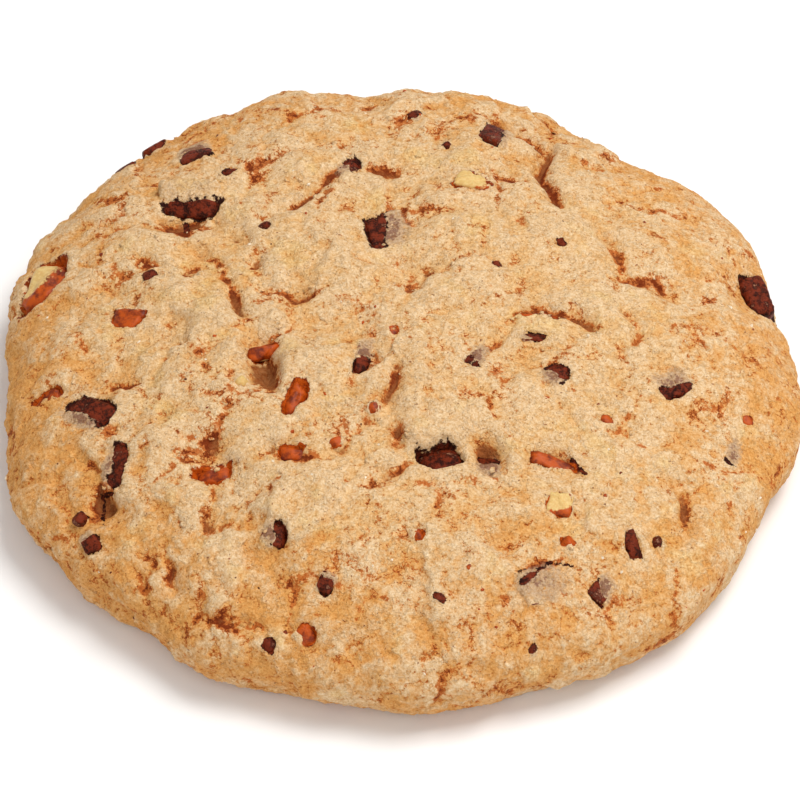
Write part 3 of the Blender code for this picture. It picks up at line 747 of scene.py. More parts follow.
def node_lump(name):
    """One CAD node as a convex lump: its middle, its face normals and each face's distance from it."""
    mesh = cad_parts[name].data
    count = len(mesh.polygons)
    normals = np.zeros(count * 3)
    centres = np.zeros(count * 3)
    mesh.polygons.foreach_get("normal", normals)
    mesh.polygons.foreach_get("center", centres)
    normals = normals.reshape(-1, 3)
    centres = centres.reshape(-1, 3) / MM
    corners = np.zeros(len(mesh.vertices) * 3)
    mesh.vertices.foreach_get("co", corners)
    corners = corners.reshape(-1, 3) / MM
    middle = (corners.min(axis=0) + corners.max(axis=0)) / 2
    reach = np.einsum("ij,ij->i", normals, centres - middle)
    return {"name": name, "middle": middle, "normals": normals, "reach": reach}


def even_directions(count):
    """Unit directions spread evenly over a sphere along a golden spiral."""
    step = np.arange(count) + 0.5
    rise = 1 - 2 * step / count
    turn = math.pi * (1 + math.sqrt(5)) * step
    flat = np.sqrt(1 - rise ** 2)
    return np.stack((flat * np.cos(turn), flat * np.sin(turn), rise), axis=-1)


def bit_lump(index, row):
    """One small bit as a convex lump of random faces, half sunk in the skin."""
    x, y, width, kind = row
    u, v = unroll(x, y)
    points, normals = mound(np.array([u]), np.array([v]))
    on_skin = points[0] + normals[0] * broad_relief(np.array([u]), np.array([v]))[0]
    rng = np.random.RandomState(400 + index)
    reach = width / 2 * rng.uniform(0.62, 1.0, BIT_PLANES)
    middle = on_skin - normals[0] * BIT_SINK * width
    return {"name": f"bit_{index}", "kind": kind, "middle": middle, "normals": even_directions(BIT_PLANES),
            "reach": reach}


def lump_radius(lump, directions, sharpness):
    """Radius of a lump towards each direction d: (sum of (d.n / reach)^k)^(-1/k) over its faces n,
    so that flat faces keep their place and edges are rounded."""
    facing = np.clip(directions @ lump["normals"].T, 0.0, None) / np.maximum(lump["reach"], 0.2)
    return np.sum(facing ** sharpness, axis=1) ** (-1.0 / sharpness)


class DoughSkin:
    """The dough's skin on one fine grid: places, heights and what colours it, opened over each piece."""

    def __init__(self, crumb_amount):
        """Work out the mound, its broad and fine relief, and lay film and openings over the pieces."""
        disc_u, disc_v = disc_grid(SKIN_CELLS)
        self.u = disc_u * SKIN_LENGTH
        self.v = disc_v * SKIN_LENGTH
        self.base, self.normal = mound(self.u, self.v)
        fine, self.inside, self.rough = fine_relief(self.u, self.v, crumb_amount)
        self.height = broad_relief(self.u, self.v) + fine
        self.film = np.zeros(self.u.shape)
        self.open = np.zeros(self.u.shape)
        self.shows = {kind: np.zeros(self.u.shape) for kind in ("chocolate", "pecan")}
        self.lumps = [node_lump(name) for name in NODES if name != "dough"]
        self.bits = [bit_lump(index, row) for index, row in enumerate(BITS)]
        for lump in self.lumps:
            self.cover(lump, *FILM[lump["name"]])
        for index, lump in enumerate(self.bits):
            share, reach, tint = BIT_FILM
            tint = tint * (lump["kind"] == "chocolate")
            self.cover(lump, 360 * (index * BIT_TURN % 1.0), share, reach, tint)
        for half_width, points in DARK_EDGES:
            away = line_side(self.u, self.v, points)[0]
            edge = np.clip(0.5 + 0.5 * (half_width - away) / DARK_EDGE_SOFTNESS, 0.0, 1.0)
            self.shows["chocolate"] = np.maximum(self.shows["chocolate"], edge)
        # The outermost ring stays on the plane that the cookie rests on
        self.height = self.height * foot_fade(self.u, self.v) ** 0.5

    def cover(self, lump, bearing, share, reach, tint):
        """Lay the skin over one lump as a thin film, and open it over the side that shows.

        The gauge is the largest n.(p - middle) / reach over the lump's faces, 1 on its outline.
        """
        middle_u, middle_v = unroll(lump["middle"][0] + BOX_MIDDLE[0], lump["middle"][1] + BOX_MIDDLE[1])
        near = np.hypot(self.u - middle_u, self.v - middle_v) < np.max(lump["reach"]) * 2.2 + 2.5
        rows, columns = np.where(near)
        part = np.s_[rows.min():rows.max() + 1, columns.min():columns.max() + 1]
        normal, away = self.normal[part], self.base[part] - lump["middle"]
        across = away - normal * np.einsum("ijk,ijk->ij", away, normal)[..., None]
        gauge = np.max(across @ lump["normals"].T / lump["reach"], axis=-1)
        facing = normal @ lump["normals"].T
        room = lump["reach"] - away @ lump["normals"].T
        rising = facing > 0.05
        top = np.min(np.where(rising, room / np.where(rising, facing, 1.0), 99.0), axis=-1)
        u, v = self.u[part], self.v[part]
        size = np.sqrt(np.mean((u - middle_u) ** 2 + (v - middle_v) ** 2, where=gauge < 1.0)) + 0.2
        jag = 0.26 * cloud_noise(u, v, 1.3, 101) + 0.24 * cloud_noise(u, v, 0.62, 103, 2)
        jag = jag * min(1.0, 1.1 / size) ** 2
        turn = math.radians(bearing)
        along = ((u - middle_u) * math.cos(turn) + (v - middle_v) * math.sin(turn)) / (1.5 * size)
        cover = along - (1 - 2 * share) + 1.7 * jag
        covered = smooth_step(-0.2, 0.2, cover)
        edge = np.minimum((reach + 0.05 - gauge - 0.9 * jag) / SHOWN_SOFTNESS, -cover / 0.35)
        shown = np.clip(0.5 + 0.5 * edge, 0.0, 1.0)
        kind = lump.get("kind", lump["name"].split("_")[0])
        if kind in self.shows:
            self.shows[kind][part] = np.maximum(self.shows[kind][part], shown)
        start = 0.55 if reach >= 1.04 else 0.66 if reach > 0.9 else 0.78
        opening = spread(smooth_step(start, start + OPEN_STEP, shown), 1)
        height = self.height[part]
        under = 1 - smooth_step(1.0, 1.12, gauge)
        lifted = height + under * np.clip(top + FILM_GAUGE - height, 0.0, None)
        ease = np.exp(-np.clip(gauge - 1.0, 0, None) ** 2 / 0.25 ** 2) * np.clip(top - height, 0, 0.6)
        lifted = lifted + (1 - under) * ease * covered
        sunk = np.minimum(height - OPEN_BELOW_SKIN, np.where(gauge < 1.04, top - OPEN_BELOW_PIECE, 99.0))
        self.height[part] = lifted * (1 - opening) + sunk * opening
        self.open[part] = np.maximum(self.open[part], opening)
        halo = np.exp(-(np.clip(spread(gauge, 3) + 0.7 * jag - 0.50, 0, None) / 0.56) ** 2)
        near_open = np.exp(-(np.clip(np.abs(cover) - 0.1, 0, None) / 0.45) ** 2)
        film = tint * halo * (0.30 + 0.55 * covered + 0.35 * near_open)
        self.film[part] = np.maximum(self.film[part], film)

    def points(self):
        """Every grid point in space; what stands over TOP_ROOM is pressed to a fifth of that."""
        points = self.base + self.normal * self.height[..., None]
        over = np.clip(points[..., 2] - TOP_ROOM, 0.0, None)
        points[..., 2] = np.clip(points[..., 2] - 0.8 * over, 0.0, None)
        return points

    def crevice(self):
        """How far each place lies below its surroundings, at two widths, plus the soft shade painted into the
        SOFT_SPOTS hollows; the dough's colour uses it for painted shade.
        """
        wide = spread(self.height, 50) - self.height
        tight = spread(self.height, 5) - self.height
        # Painted shade: the soft shade of the SOFT_SPOTS hollows
        soft = sum(shade * soft_spot(self.u, self.v, *spot) for *spot, _, shade in SOFT_SPOTS)
        return np.clip(0.8 * wide + 1.6 * tight + soft, -1.0, 1.0)

    def bake(self):
        """How golden the skin is, 0 to 1: more on the wall and on some hills, and more at the lower left,
        turned from the key lamp, partly as browner dough and partly as painted shade.
        """
        edge = smooth_step(0.40, 0.80, np.hypot(self.u, self.v) / SKIN_LENGTH)
        # Partly painted shade: the lower left, turned from the key lamp, is made more golden
        left = smooth_step(10, 38, -self.u * 0.85 - self.v * 0.35)
        patch = cloud_noise(self.u, self.v, 9.0, 111)
        return np.clip(0.17 + 0.60 * edge + 0.20 * left + 0.28 * patch, 0.0, 1.2)


def mesh_object(name, points, triangles, surface):
    """A smooth mesh object at the origin from points in millimetres and an array of triangles."""
    mesh = bpy.data.meshes.new(name)
    corners = np.asarray(triangles, dtype=np.int32).ravel()
    mesh.vertices.add(len(points))
    mesh.vertices.foreach_set("co", (np.asarray(points) * MM).astype(np.float32).ravel())
    mesh.loops.add(len(corners))
    mesh.loops.foreach_set("vertex_index", corners)
    mesh.polygons.add(len(corners) // 3)
    mesh.polygons.foreach_set("loop_start", np.arange(0, len(corners), 3, dtype=np.int32))
    mesh.update(calc_edges=True)
    mesh.validate()
    mesh.shade_smooth()
    mesh.materials.append(surface)
    made = bpy.data.objects.new(name, mesh)
    bpy.context.scene.collection.objects.link(made)
    return made


def store(thing, name, values):
    """Keep one number per vertex on a mesh, for its material to read."""
    layer = thing.data.attributes.new(name, "FLOAT", "POINT")
    layer.data.foreach_set("value", np.asarray(values, dtype=np.float32).ravel())


def grid_triangles(side):
    """Triangles of a square grid, split so that no sliver falls at the bent grid's four corners."""
    number = np.arange(side * side).reshape(side, side)
    a, b = number[:-1, :-1], number[1:, :-1]
    c, d = number[1:, 1:], number[:-1, 1:]
    half = (side - 1) / 2
    i, j = np.meshgrid(np.arange(side - 1), np.arange(side - 1), indexing="ij")
    same = ((i < half) == (j < half))[..., None]
    first = np.where(same, np.stack((a, b, c), -1), np.stack((a, b, d), -1))
    last = np.where(same, np.stack((a, c, d), -1), np.stack((b, c, d), -1))
    return np.concatenate((first.reshape(-1, 3), last.reshape(-1, 3)))


def outer_ring(side):
    """Numbers of a square grid's edge points, in order round it, against the clock seen from above."""
    number = np.arange(side * side).reshape(side, side)
    return np.concatenate((number[:-1, 0], number[-1, :-1], number[:0:-1, -1], number[0, :0:-1]))


def underside(ring_points, first_number, ring_numbers):
    """The flat underside inside the foot ring: rings that halve their points twice and then close in
    to a middle point, with shallow pits and a slightly hollow middle."""
    points, triangles = [], []
    outer = ring_numbers
    place = ring_points
    number = first_number
    for step in (1, 2):
        inner_place = place[::2] * (1 - 0.012 * step)
        inner = number + np.arange(len(inner_place))
        number += len(inner_place)
        even, odd, after = outer[::2], outer[1::2], np.roll(outer[::2], -1)
        nearest, following = inner, np.roll(inner, -1)
        triangles += [np.stack((even, nearest, odd), -1), np.stack((odd, nearest, following), -1)]
        triangles += [np.stack((odd, following, after), -1)]
        points.append(inner_place)
        outer, place = inner, inner_place
    start = place
    for ring in range(1, UNDERSIDE_RINGS):
        share = 1 - ring / UNDERSIDE_RINGS
        inner_place = start * share
        inner = number + np.arange(len(start))
        number += len(start)
        following, outer_next = np.roll(inner, -1), np.roll(outer, -1)
        triangles += [np.stack((outer, inner, outer_next), -1), np.stack((outer_next, inner, following), -1)]
        points.append(inner_place)
        outer = inner
    points.append(np.zeros((1, 2)))
    middle = np.full(len(start), number)
    triangles.append(np.stack((outer, middle, np.roll(outer, -1)), -1))
    flat = np.concatenate(points)
    hollow = 0.10 * (1 - np.hypot(flat[:, 0], flat[:, 1]) / MEAN_RADIUS).clip(0, 1)
    first, _, chance = cell_noise(flat[:, 0], flat[:, 1], 2.6, 121)
    pits = 0.16 * (1 - smooth_step(0.10, 0.34, first)) * (chance > 0.35)
    inset = smooth_step(0.0, 2.0, MEAN_RADIUS * (1 - FOOT_TUCK) - np.hypot(flat[:, 0], flat[:, 1]))
    height = (hollow + pits) * inset
    return np.column_stack((flat, height)), np.concatenate(triangles)


class Nodes:
    """Shorthand for building a node tree: each call adds nodes and links or sets their inputs."""

    def __init__(self, tree):
        """Keep the tree that the nodes go into."""
        self.tree = tree

    def add(self, kind, inputs=None, **settings):
        """Add one node, set its properties, and link or set each named input."""
        node = self.tree.nodes.new(kind)
        for key, value in settings.items():
            setattr(node, key, value)
        for key, value in (inputs or {}).items():
            self.feed(node.inputs[key], value)
        return node

    def feed(self, socket, value):
        """Link an output to a socket, or set the socket to a plain value."""
        if isinstance(value, bpy.types.NodeSocket):
            self.tree.links.new(value, socket)
        elif socket.type == "RGBA":
            socket.default_value = (*value, 1.0)
        else:
            socket.default_value = value

    def math(self, operation, first, second):
        """One arithmetic step."""
        node = self.add("ShaderNodeMath", operation=operation)
        self.feed(node.inputs[0], first)
        self.feed(node.inputs[1], second)
        return node.outputs[0]

    def times(self, first, second):
        """One value times another."""
        return self.math("MULTIPLY", first, second)

    def total(self, base, *parts):
        """A base value and any number of (value, weight) pairs added to it."""
        for value, weight in parts:
            base = self.math("ADD", base, self.times(value, weight))
        return base

    def ramp(self, value, low, high):
        """0 below low, 1 above high, with a smooth rise between."""
        inputs = {"Value": value, "From Min": low, "From Max": high}
        return self.add("ShaderNodeMapRange", inputs, interpolation_type="SMOOTHSTEP").outputs["Result"]

    def mix(self, share, first, second, blend="MIX"):
        """Blend two colours by a share from 0 to 1."""
        node = self.add("ShaderNodeMix", data_type="RGBA", blend_type=blend)
        for socket, value in (("Factor", share), (6, first), (7, second)):
            self.feed(node.inputs[socket], value)
        return node.outputs[2]

    def tint(self, colour, value, low, high, share, second):
        """Lay a second colour over the first where a value rises from low to high, at most by a share."""
        return self.mix(self.times(self.ramp(value, low, high), share), colour, second)

    def noise(self, place, scale, detail, roughness):
        """Soft noise from 0 to 1 at a place, with the given number of features per metre."""
        inputs = {"Vector": place, "Scale": scale, "Detail": detail, "Roughness": roughness}
        return self.add("ShaderNodeTexNoise", inputs).outputs["Fac"]

    def place(self):
        """Object coordinates, in metres."""
        return self.add("ShaderNodeTexCoord").outputs["Object"]

    def attribute(self, name):
        """One number per vertex, as kept on the mesh."""
        return self.add("ShaderNodeAttribute", attribute_name=name).outputs["Fac"]

    def group(self, tree, **inputs):
        """The outputs of a shader node group placed here, with its named inputs linked or set."""
        return self.add("ShaderNodeGroup", inputs, node_tree=tree).outputs


def group_of(name, inputs, outputs, build):
    """A shader node group with named sockets, made once; build takes the nodes and the inputs and gives
    back a value for each output."""
    if name in bpy.data.node_groups:
        return bpy.data.node_groups[name]
    tree = bpy.data.node_groups.new(name, "ShaderNodeTree")
    for label, kind in inputs.items():
        tree.interface.new_socket(label, in_out="INPUT", socket_type=kind)
    for label, kind in outputs.items():
        tree.interface.new_socket(label, in_out="OUTPUT", socket_type=kind)
    nodes = Nodes(tree)
    given = nodes.add("NodeGroupInput").outputs
    result = nodes.add("NodeGroupOutput")
    for label, value in build(nodes, given).items():
        nodes.feed(result.inputs[label], value)
    return tree


def grain_group():
    """Fine grain of baked flour and sugar: a height for bump, a shade, ragged noise about 0, the level
    of thin torn plates (0, 1 or 2) and a mask of the foot of their lower step, where shade is painted."""

    def build(nodes, given):
        """Ragged noise, fine noise, and plates cut out of a third noise at two levels."""
        place = given["Place"]
        fine = nodes.noise(place, 4600.0, 2.0, 0.75)
        ragged = nodes.times(nodes.math("SUBTRACT", nodes.noise(place, 1500.0, 5.0, 0.78), 0.5), 3.0)
        plate = nodes.noise(place, 560.0, 6.0, 0.64)
        first_step = nodes.ramp(plate, 0.43, 0.46)
        levels = nodes.math("ADD", first_step, nodes.ramp(plate, 0.55, 0.58))
        # Painted shade: a narrow band on the lower level just before the first step
        foot = nodes.times(nodes.ramp(plate, 0.395, 0.425), nodes.math("SUBTRACT", 1.0, first_step))
        return {
            "Height": nodes.total(nodes.times(ragged, -0.26), (fine, 0.42), (levels, 0.20)),
            "Shade": nodes.math("ADD", nodes.times(ragged, -0.22), nodes.math("SUBTRACT", fine, 0.5)),
            "Ragged": ragged,
            "Levels": levels,
            "Foot shade": foot,
        }

    outputs = dict.fromkeys(("Height", "Shade", "Ragged", "Levels", "Foot shade"), VALUE)
    return group_of("fine_grain", {"Place": PLACE}, outputs, build)


def film_group():
    """Thin dough over chocolate: pale beige that grows darker in specks where it is thinnest."""

    def build(nodes, given):
        """The film's colour laid over the dough's by an amount that two noises make uneven."""
        place, thick = given["Place"], given["Amount"]
        speckle = nodes.noise(place, 2600.0, 3.0, 0.70)
        blotch = nodes.noise(place, 900.0, 2.0, 0.6)
        uneven = nodes.total(nodes.times(speckle, 1.5), (blotch, 0.9))
        amount = nodes.math("ADD", thick, nodes.math("SUBTRACT", uneven, 1.2))
        share = nodes.times(nodes.ramp(amount, 0.10, 0.75), nodes.ramp(thick, 0.02, 0.35))
        colour = nodes.mix(share, given["Colour"], given["Film"])
        return {"Colour": nodes.tint(colour, amount, 0.84, 1.10, 0.85, given["Under"])}

    inputs = {"Place": PLACE, "Colour": COLOUR, "Film": COLOUR, "Under": COLOUR, "Amount": VALUE}
    return group_of("dough_film", inputs, {"Colour": COLOUR}, build)


def shown_group():
    """Where a piece shows at the skin: its own colour inside a ragged edge, and the mask of that."""

    def build(nodes, given):
        """The edge is where the shown value and ragged noise pass a half; near it the piece is darker."""
        ragged = given["Ragged"]
        reach = nodes.total(given["Shown"], (ragged, 0.30))
        mask = nodes.ramp(reach, 0.50, 0.58)
        deep = nodes.total(nodes.math("ADD", ragged, given["Balance"]), (nodes.ramp(reach, 0.70, 0.54), 0.35))
        piece = nodes.mix(nodes.ramp(deep, -0.25, 0.30), given["Light"], given["Deep"])
        return {"Colour": nodes.mix(mask, given["Colour"], piece), "Mask": mask}

    inputs = dict.fromkeys(("Shown", "Ragged", "Balance"), VALUE)
    inputs.update(dict.fromkeys(("Colour", "Deep", "Light"), COLOUR))
    return group_of("shown_piece", inputs, {"Colour": COLOUR, "Mask": VALUE}, build)


def new_material(name):
    """A material with only its Principled shader and output, and shorthand for its nodes."""
    made = bpy.data.materials.new(name)
    made.use_nodes = True
    return made, Nodes(made.node_tree), made.node_tree.nodes["Principled BSDF"]


def finish_shader(nodes, shader, colour, rough, gloss, height, strength, distance):
    """Feed a material's shader its colour, roughness, gloss and a bump of the given height."""
    bump = nodes.add("ShaderNodeBump", {"Height": height, "Strength": strength, "Distance": distance})
    nodes.feed(shader.inputs["Base Color"], colour)
    nodes.feed(shader.inputs["Roughness"], rough)
    nodes.feed(shader.inputs["Normal"], bump.outputs["Normal"])
    shader.inputs["Specular IOR Level"].default_value = gloss


def glow_inside(shader, weight, radius, scale):
    """Let light pass a little way through: its share, its reach for red, green and blue, and its scale."""
    shader.inputs["Subsurface Weight"].default_value = weight
    shader.inputs["Subsurface Radius"].default_value = radius
    shader.inputs["Subsurface Scale"].default_value = scale


def dough_material(dough, pieces, name="baked_dough", whole=True):
    """Baked dough: pale to golden in soft patches, ragged caramel flecks that thicken along borders and
    cracks and turn brown at their cores, beige film over chocolate, and the ragged edge of each piece.
    Shade is painted in as well: tan, golden, caramel and brown in low places and at the foot of plate
    steps, and a soft shade in the deepest hollows."""
    made, nodes, shader = new_material(name)
    place = nodes.place()
    grain = nodes.group(grain_group(), Place=place)
    ragged, levels = grain["Ragged"], grain["Levels"]
    soft = nodes.noise(place, 300.0, 4.0, 0.6)
    zone = nodes.noise(place, 210.0, 3.0, 0.6)
    bake, crevice, gap = (nodes.attribute(key) for key in ("bake", "crevice", "gap"))
    # Painted shade: tan in low places (crevice) and on lower plates, pale on raised ones
    tone = nodes.total(soft, (crevice, 0.35), (ragged, 0.10), (levels, -0.06))
    colour = nodes.mix(nodes.ramp(tone, 0.30, 0.62), dough.pale, dough.tan)
    colour = nodes.tint(colour, zone, 0.56, 0.70, 0.40, dough.yellow)
    patch = nodes.math("SUBTRACT", soft, 0.5)
    # Painted shade: low places (crevice) and lower plates turn more golden
    golden = nodes.total(bake, (patch, 1.7), (ragged, 0.35), (crevice, 0.55), (levels, -0.16))
    colour = nodes.tint(colour, golden, 0.12, 0.95, 0.92, dough.golden)
    steady = nodes.total(1.0, (gap, -0.55))
    region = nodes.math("SUBTRACT", 0.5, zone)
    # Flecks along cracks and open borders are the dough's browner colour; the brown at the deepest crack
    # cores is partly painted shade
    fleck = nodes.total(nodes.times(gap, 1.05), (ragged, steady), (region, 1.4))
    # Painted shade: more caramel in low places (crevice) and at the foot of each plate step
    fleck = nodes.total(fleck, (crevice, 0.40), (bake, 0.16), (grain["Foot shade"], 0.38))
    speck = nodes.noise(place, 3400.0, 1.0, 0.5)
    for value, low, high, share, second in (
        (fleck, 0.32, 0.66, 0.50, dough.golden),
        (fleck, 0.585, 0.715, 0.88, dough.caramel),
        (fleck, 0.88, 1.05, 0.94, dough.brown),
        (speck, 0.715, 0.765, 0.75, dough.brown),
        # Painted shade: a soft brown where the crevice is deepest
        (crevice, 0.55, 1.0, 0.88, dough.hollow_shade),
    ):
        colour = nodes.tint(colour, value, low, high, share, second)
    film = {"Film": dough.film, "Under": dough.thin_film, "Amount": nodes.attribute("film") if whole else 0.0}
    colour = nodes.group(film_group(), Place=place, Colour=colour, **film)["Colour"]
    rough = 0.85
    for kind, deep, light, balance in (
        ("chocolate", dough.piece_dark, pieces.chocolate, 0.0),
        ("pecan", pieces.furrow, pieces.skin, -0.30),
    ):
        if whole:
            looks = {"Deep": deep, "Light": light, "Balance": balance}
            shown = nodes.attribute(kind)
            piece = nodes.group(shown_group(), Shown=shown, Ragged=ragged, Colour=colour, **looks)
            colour = piece["Colour"]
            rough = nodes.total(rough, (piece["Mask"], -0.35))
    grain_shade = {part: nodes.total(1.0, (grain["Shade"], amount)) for part, amount in GRAIN_TINT.items()}
    grain_colour = nodes.add("ShaderNodeCombineColor", grain_shade).outputs["Color"]
    colour = nodes.mix(1.0, colour, grain_colour, "MULTIPLY")
    finish_shader(nodes, shader, colour, rough, 0.12, grain["Height"], 1.0, GRAIN_BUMP)
    return made


def chocolate_material(dough, pieces):
    """Dark chocolate: clean dark faces, duller brown where fat and flour lie on it, a soft gloss."""
    made, nodes, shader = new_material("dark_chocolate")
    grain = nodes.group(grain_group(), Place=nodes.place())
    ragged = grain["Ragged"]
    colour = nodes.mix(nodes.ramp(ragged, -0.25, 0.30), pieces.chocolate, dough.piece_dark)
    dull = nodes.total(nodes.attribute("dust"), (ragged, 1.1))
    colour = nodes.mix(nodes.ramp(dull, 0.55, 0.80), colour, pieces.bloom)
    colour = nodes.mix(nodes.ramp(dull, 0.82, 0.96), colour, dough.film)
    rough = nodes.total(0.50, (ragged, 0.30))
    finish_shader(nodes, shader, colour, rough, 0.12, grain["Height"], 0.7, GRAIN_BUMP)
    return made


def pecan_material(pieces):
    """Pecan: glossy orange-brown skin with darker furrows, and pale yellow broken flesh."""
    made, nodes, shader = new_material("pecan_nut")
    place = nodes.place()
    streak = nodes.noise(place, 850.0, 4.0, 0.65)
    fine = nodes.noise(place, 3200.0, 3.0, 0.6)
    colour = nodes.mix(nodes.ramp(streak, 0.34, 0.60), pieces.furrow, pieces.skin)
    flesh = nodes.mix(nodes.ramp(fine, 0.35, 0.7), pieces.flesh_shade, pieces.flesh)
    broken = nodes.total(nodes.attribute("flesh"), (nodes.math("SUBTRACT", fine, 0.5), 0.5))
    colour = nodes.mix(nodes.ramp(broken, 0.42, 0.58), colour, flesh)
    finish_shader(nodes, shader, colour, nodes.total(0.36, (fine, 0.3)), 0.25, streak, 0.5, 0.0002)
    glow_inside(shader, 0.05, (1.0, 0.35, 0.12), 0.0008)
    return made


def sugar_material(pieces):
    """Sugar grains: nearly white, slightly glassy crystals."""
    made, nodes, shader = new_material("sugar_grain")
    fine = nodes.noise(nodes.place(), 2500.0, 2.0, 0.5)
    colour = nodes.mix(nodes.ramp(fine, 0.3, 0.7), pieces.sugar_shade, pieces.sugar)
    nodes.feed(shader.inputs["Base Color"], colour)
    nodes.feed(shader.inputs["Roughness"], nodes.total(0.18, (fine, 0.2)))
    glow_inside(shader, 0.3, (1.0, 0.9, 0.8), 0.0005)
    return made


def sphere_grid(rings, segments):
    """Directions of a ball: a top point, rings of points and a bottom point, and its outward triangles."""
    tilt = np.linspace(0, math.pi, rings + 1)[1:-1]
    turn = np.linspace(0, 2 * math.pi, segments, endpoint=False)
    tilts, turns = np.meshgrid(tilt, turn, indexing="ij")
    around = np.stack((np.sin(tilts) * np.cos(turns), np.sin(tilts) * np.sin(turns), np.cos(tilts)), -1)
    directions = np.concatenate(([[0, 0, 1.0]], around.reshape(-1, 3), [[0, 0, -1.0]]))
    number = 1 + np.arange((rings - 1) * segments).reshape(rings - 1, segments)
    after = np.roll(number, -1, axis=1)
    upper, lower = number[:-1], number[1:]
    upper_next, lower_next = after[:-1], after[1:]
    top = np.stack((np.zeros(segments, int), number[0], after[0]), -1)
    bottom = np.stack((np.full(segments, len(directions) - 1), after[-1], number[-1]), -1)
    walls = np.concatenate((
        np.stack((upper, lower, lower_next), -1).reshape(-1, 3),
        np.stack((upper, lower_next, upper_next), -1).reshape(-1, 3),
    ))
    return directions, np.concatenate((top, walls, bottom))


def ball_noise(points, cell, seed):
    """Noise in space: three value noises over the planes XY, YZ and ZX, averaged."""
    x, y, z = points.T
    parts = (cloud_noise(x, y, cell, seed), cloud_noise(y + 5, z, cell, seed + 5),
             cloud_noise(z, x - 7, cell, seed + 9))
    return sum(parts) / 1.8


def chip_surface(lump, seed, sharpness, rough, ridges=0.0):
    """One chunk in fine detail: the lump's rounded faces, moved in and out by noise in space.

    radius = rounded face radius * (1 + rough * noise + ridges * wave), where the wave runs round
    the lump's longest axis as the furrows of a nut do.
    """
    directions, triangles = sphere_grid(*CHIP_GRID)
    radius = lump_radius(lump, directions, sharpness)
    points = directions * radius[:, None]
    change = rough * ball_noise(points + lump["middle"], 1.2, seed)
    change = change + 0.35 * rough * ball_noise(points, 0.45, seed + 3)
    if ridges:
        long_axis = np.linalg.svd(points - points.mean(axis=0), full_matrices=False)[2][0]
        side = np.cross(long_axis, (0.0, 0.0, 1.0))
        up = np.cross(side, long_axis)
        turn = np.arctan2(points @ up, points @ side)
        change = change + ridges * np.cos(5 * turn + 2.2 * ball_noise(points, 2.0, seed + 6))
    return lump["middle"] + points * (1 + change)[:, None], triangles, directions


def join_surfaces(parts):
    """Points and triangles of many closed surfaces as one pair of arrays."""
    counts = np.cumsum([0] + [len(points) for points, _ in parts])
    points = np.concatenate([points for points, _ in parts])
    triangles = np.concatenate([faces + start for (_, faces), start in zip(parts, counts)])
    return points, triangles


def finish_piece(thing, slot, *nodes):
    """Attach a finished piece to the root body and hide the imported solids that it stands for; the slot is
    not used.
    """
    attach(thing, "root")
    if nodes:
        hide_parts(*nodes)


def skin_of(context):
    """The dough's skin, worked out once and shared by every operator."""
    if "skin" not in SHARED:
        SHARED["skin"] = DoughSkin(context.scene.cookie_dough.crumb_height)
    return SHARED["skin"]


SHARED = {}


class COOKIE_OT_stage(bpy.types.Operator):
    """Make the pale floor, the soft lights and the camera of the photograph"""

    bl_idname = "cookie.stage"
    bl_label = "Make the stage"

    def execute(self, context):
        """Floor, lights, world and camera."""
        scene = context.scene
        self.floor()
        for name, looks in LAMPS.items():
            self.light(scene, name, *looks)
        world = bpy.data.worlds.new("studio")
        world.use_nodes = True
        background = world.node_tree.nodes["Background"]
        background.inputs["Color"].default_value = (1.0, 1.0, 1.0, 1.0)
        background.inputs["Strength"].default_value = WORLD_STRENGTH
        scene.world = world
        scene.camera = self.camera(scene, scene.cookie_stage)
        scene.view_settings.view_transform = "Standard"
        scene.view_settings.look = "None"
        return {"FINISHED"}

    def camera(self, scene, settings):
        """A long lens that looks down on the cookie from the front."""
        data = bpy.data.cameras.new("camera")
        data.lens = settings.lens
        data.sensor_width = 36.0
        data.clip_end = 10.0
        made = bpy.data.objects.new("camera", data)
        aim = Vector((AIM[0] - BOX_MIDDLE[0], AIM[1] - BOX_MIDDLE[1], AIM[2])) * MM
        back = Vector((0.0, -math.cos(settings.elevation), math.sin(settings.elevation)))
        made.location = aim + back * settings.distance
        made.rotation_euler = back.to_track_quat("Z", "Y").to_euler()
        scene.collection.objects.link(made)
        return made

    def floor(self):
        """A flat pale disc far wider than the view, level with the underside."""
        turn = np.linspace(0, 2 * math.pi, FLOOR_CORNERS, endpoint=False)
        edge = np.column_stack((np.cos(turn), np.sin(turn), 0 * turn)) * FLOOR_RADIUS
        ring = np.arange(FLOOR_CORNERS)
        triangles = np.stack((ring, np.roll(ring, -1), np.full(FLOOR_CORNERS, FLOOR_CORNERS)), -1)
        made, _, shader = new_material("pale_floor")
        shader.inputs["Base Color"].default_value = (FLOOR_SHADE, FLOOR_SHADE, FLOOR_SHADE, 1.0)
        shader.inputs["Roughness"].default_value = 0.9
        mesh_object("floor", np.concatenate((edge, np.zeros((1, 3)))), triangles, made)

    def light(self, scene, name, place, size, power, colour):
        """One soft square lamp that faces the cookie."""
        data = bpy.data.lights.new(name, "AREA")
        data.shape = "SQUARE"
        data.size = size
        data.energy = power
        data.color = colour
        lamp = bpy.data.objects.new(name, data)
        lamp.location = place
        lamp.rotation_euler = Vector(place).to_track_quat("Z", "Y").to_euler()
        scene.collection.objects.link(lamp)


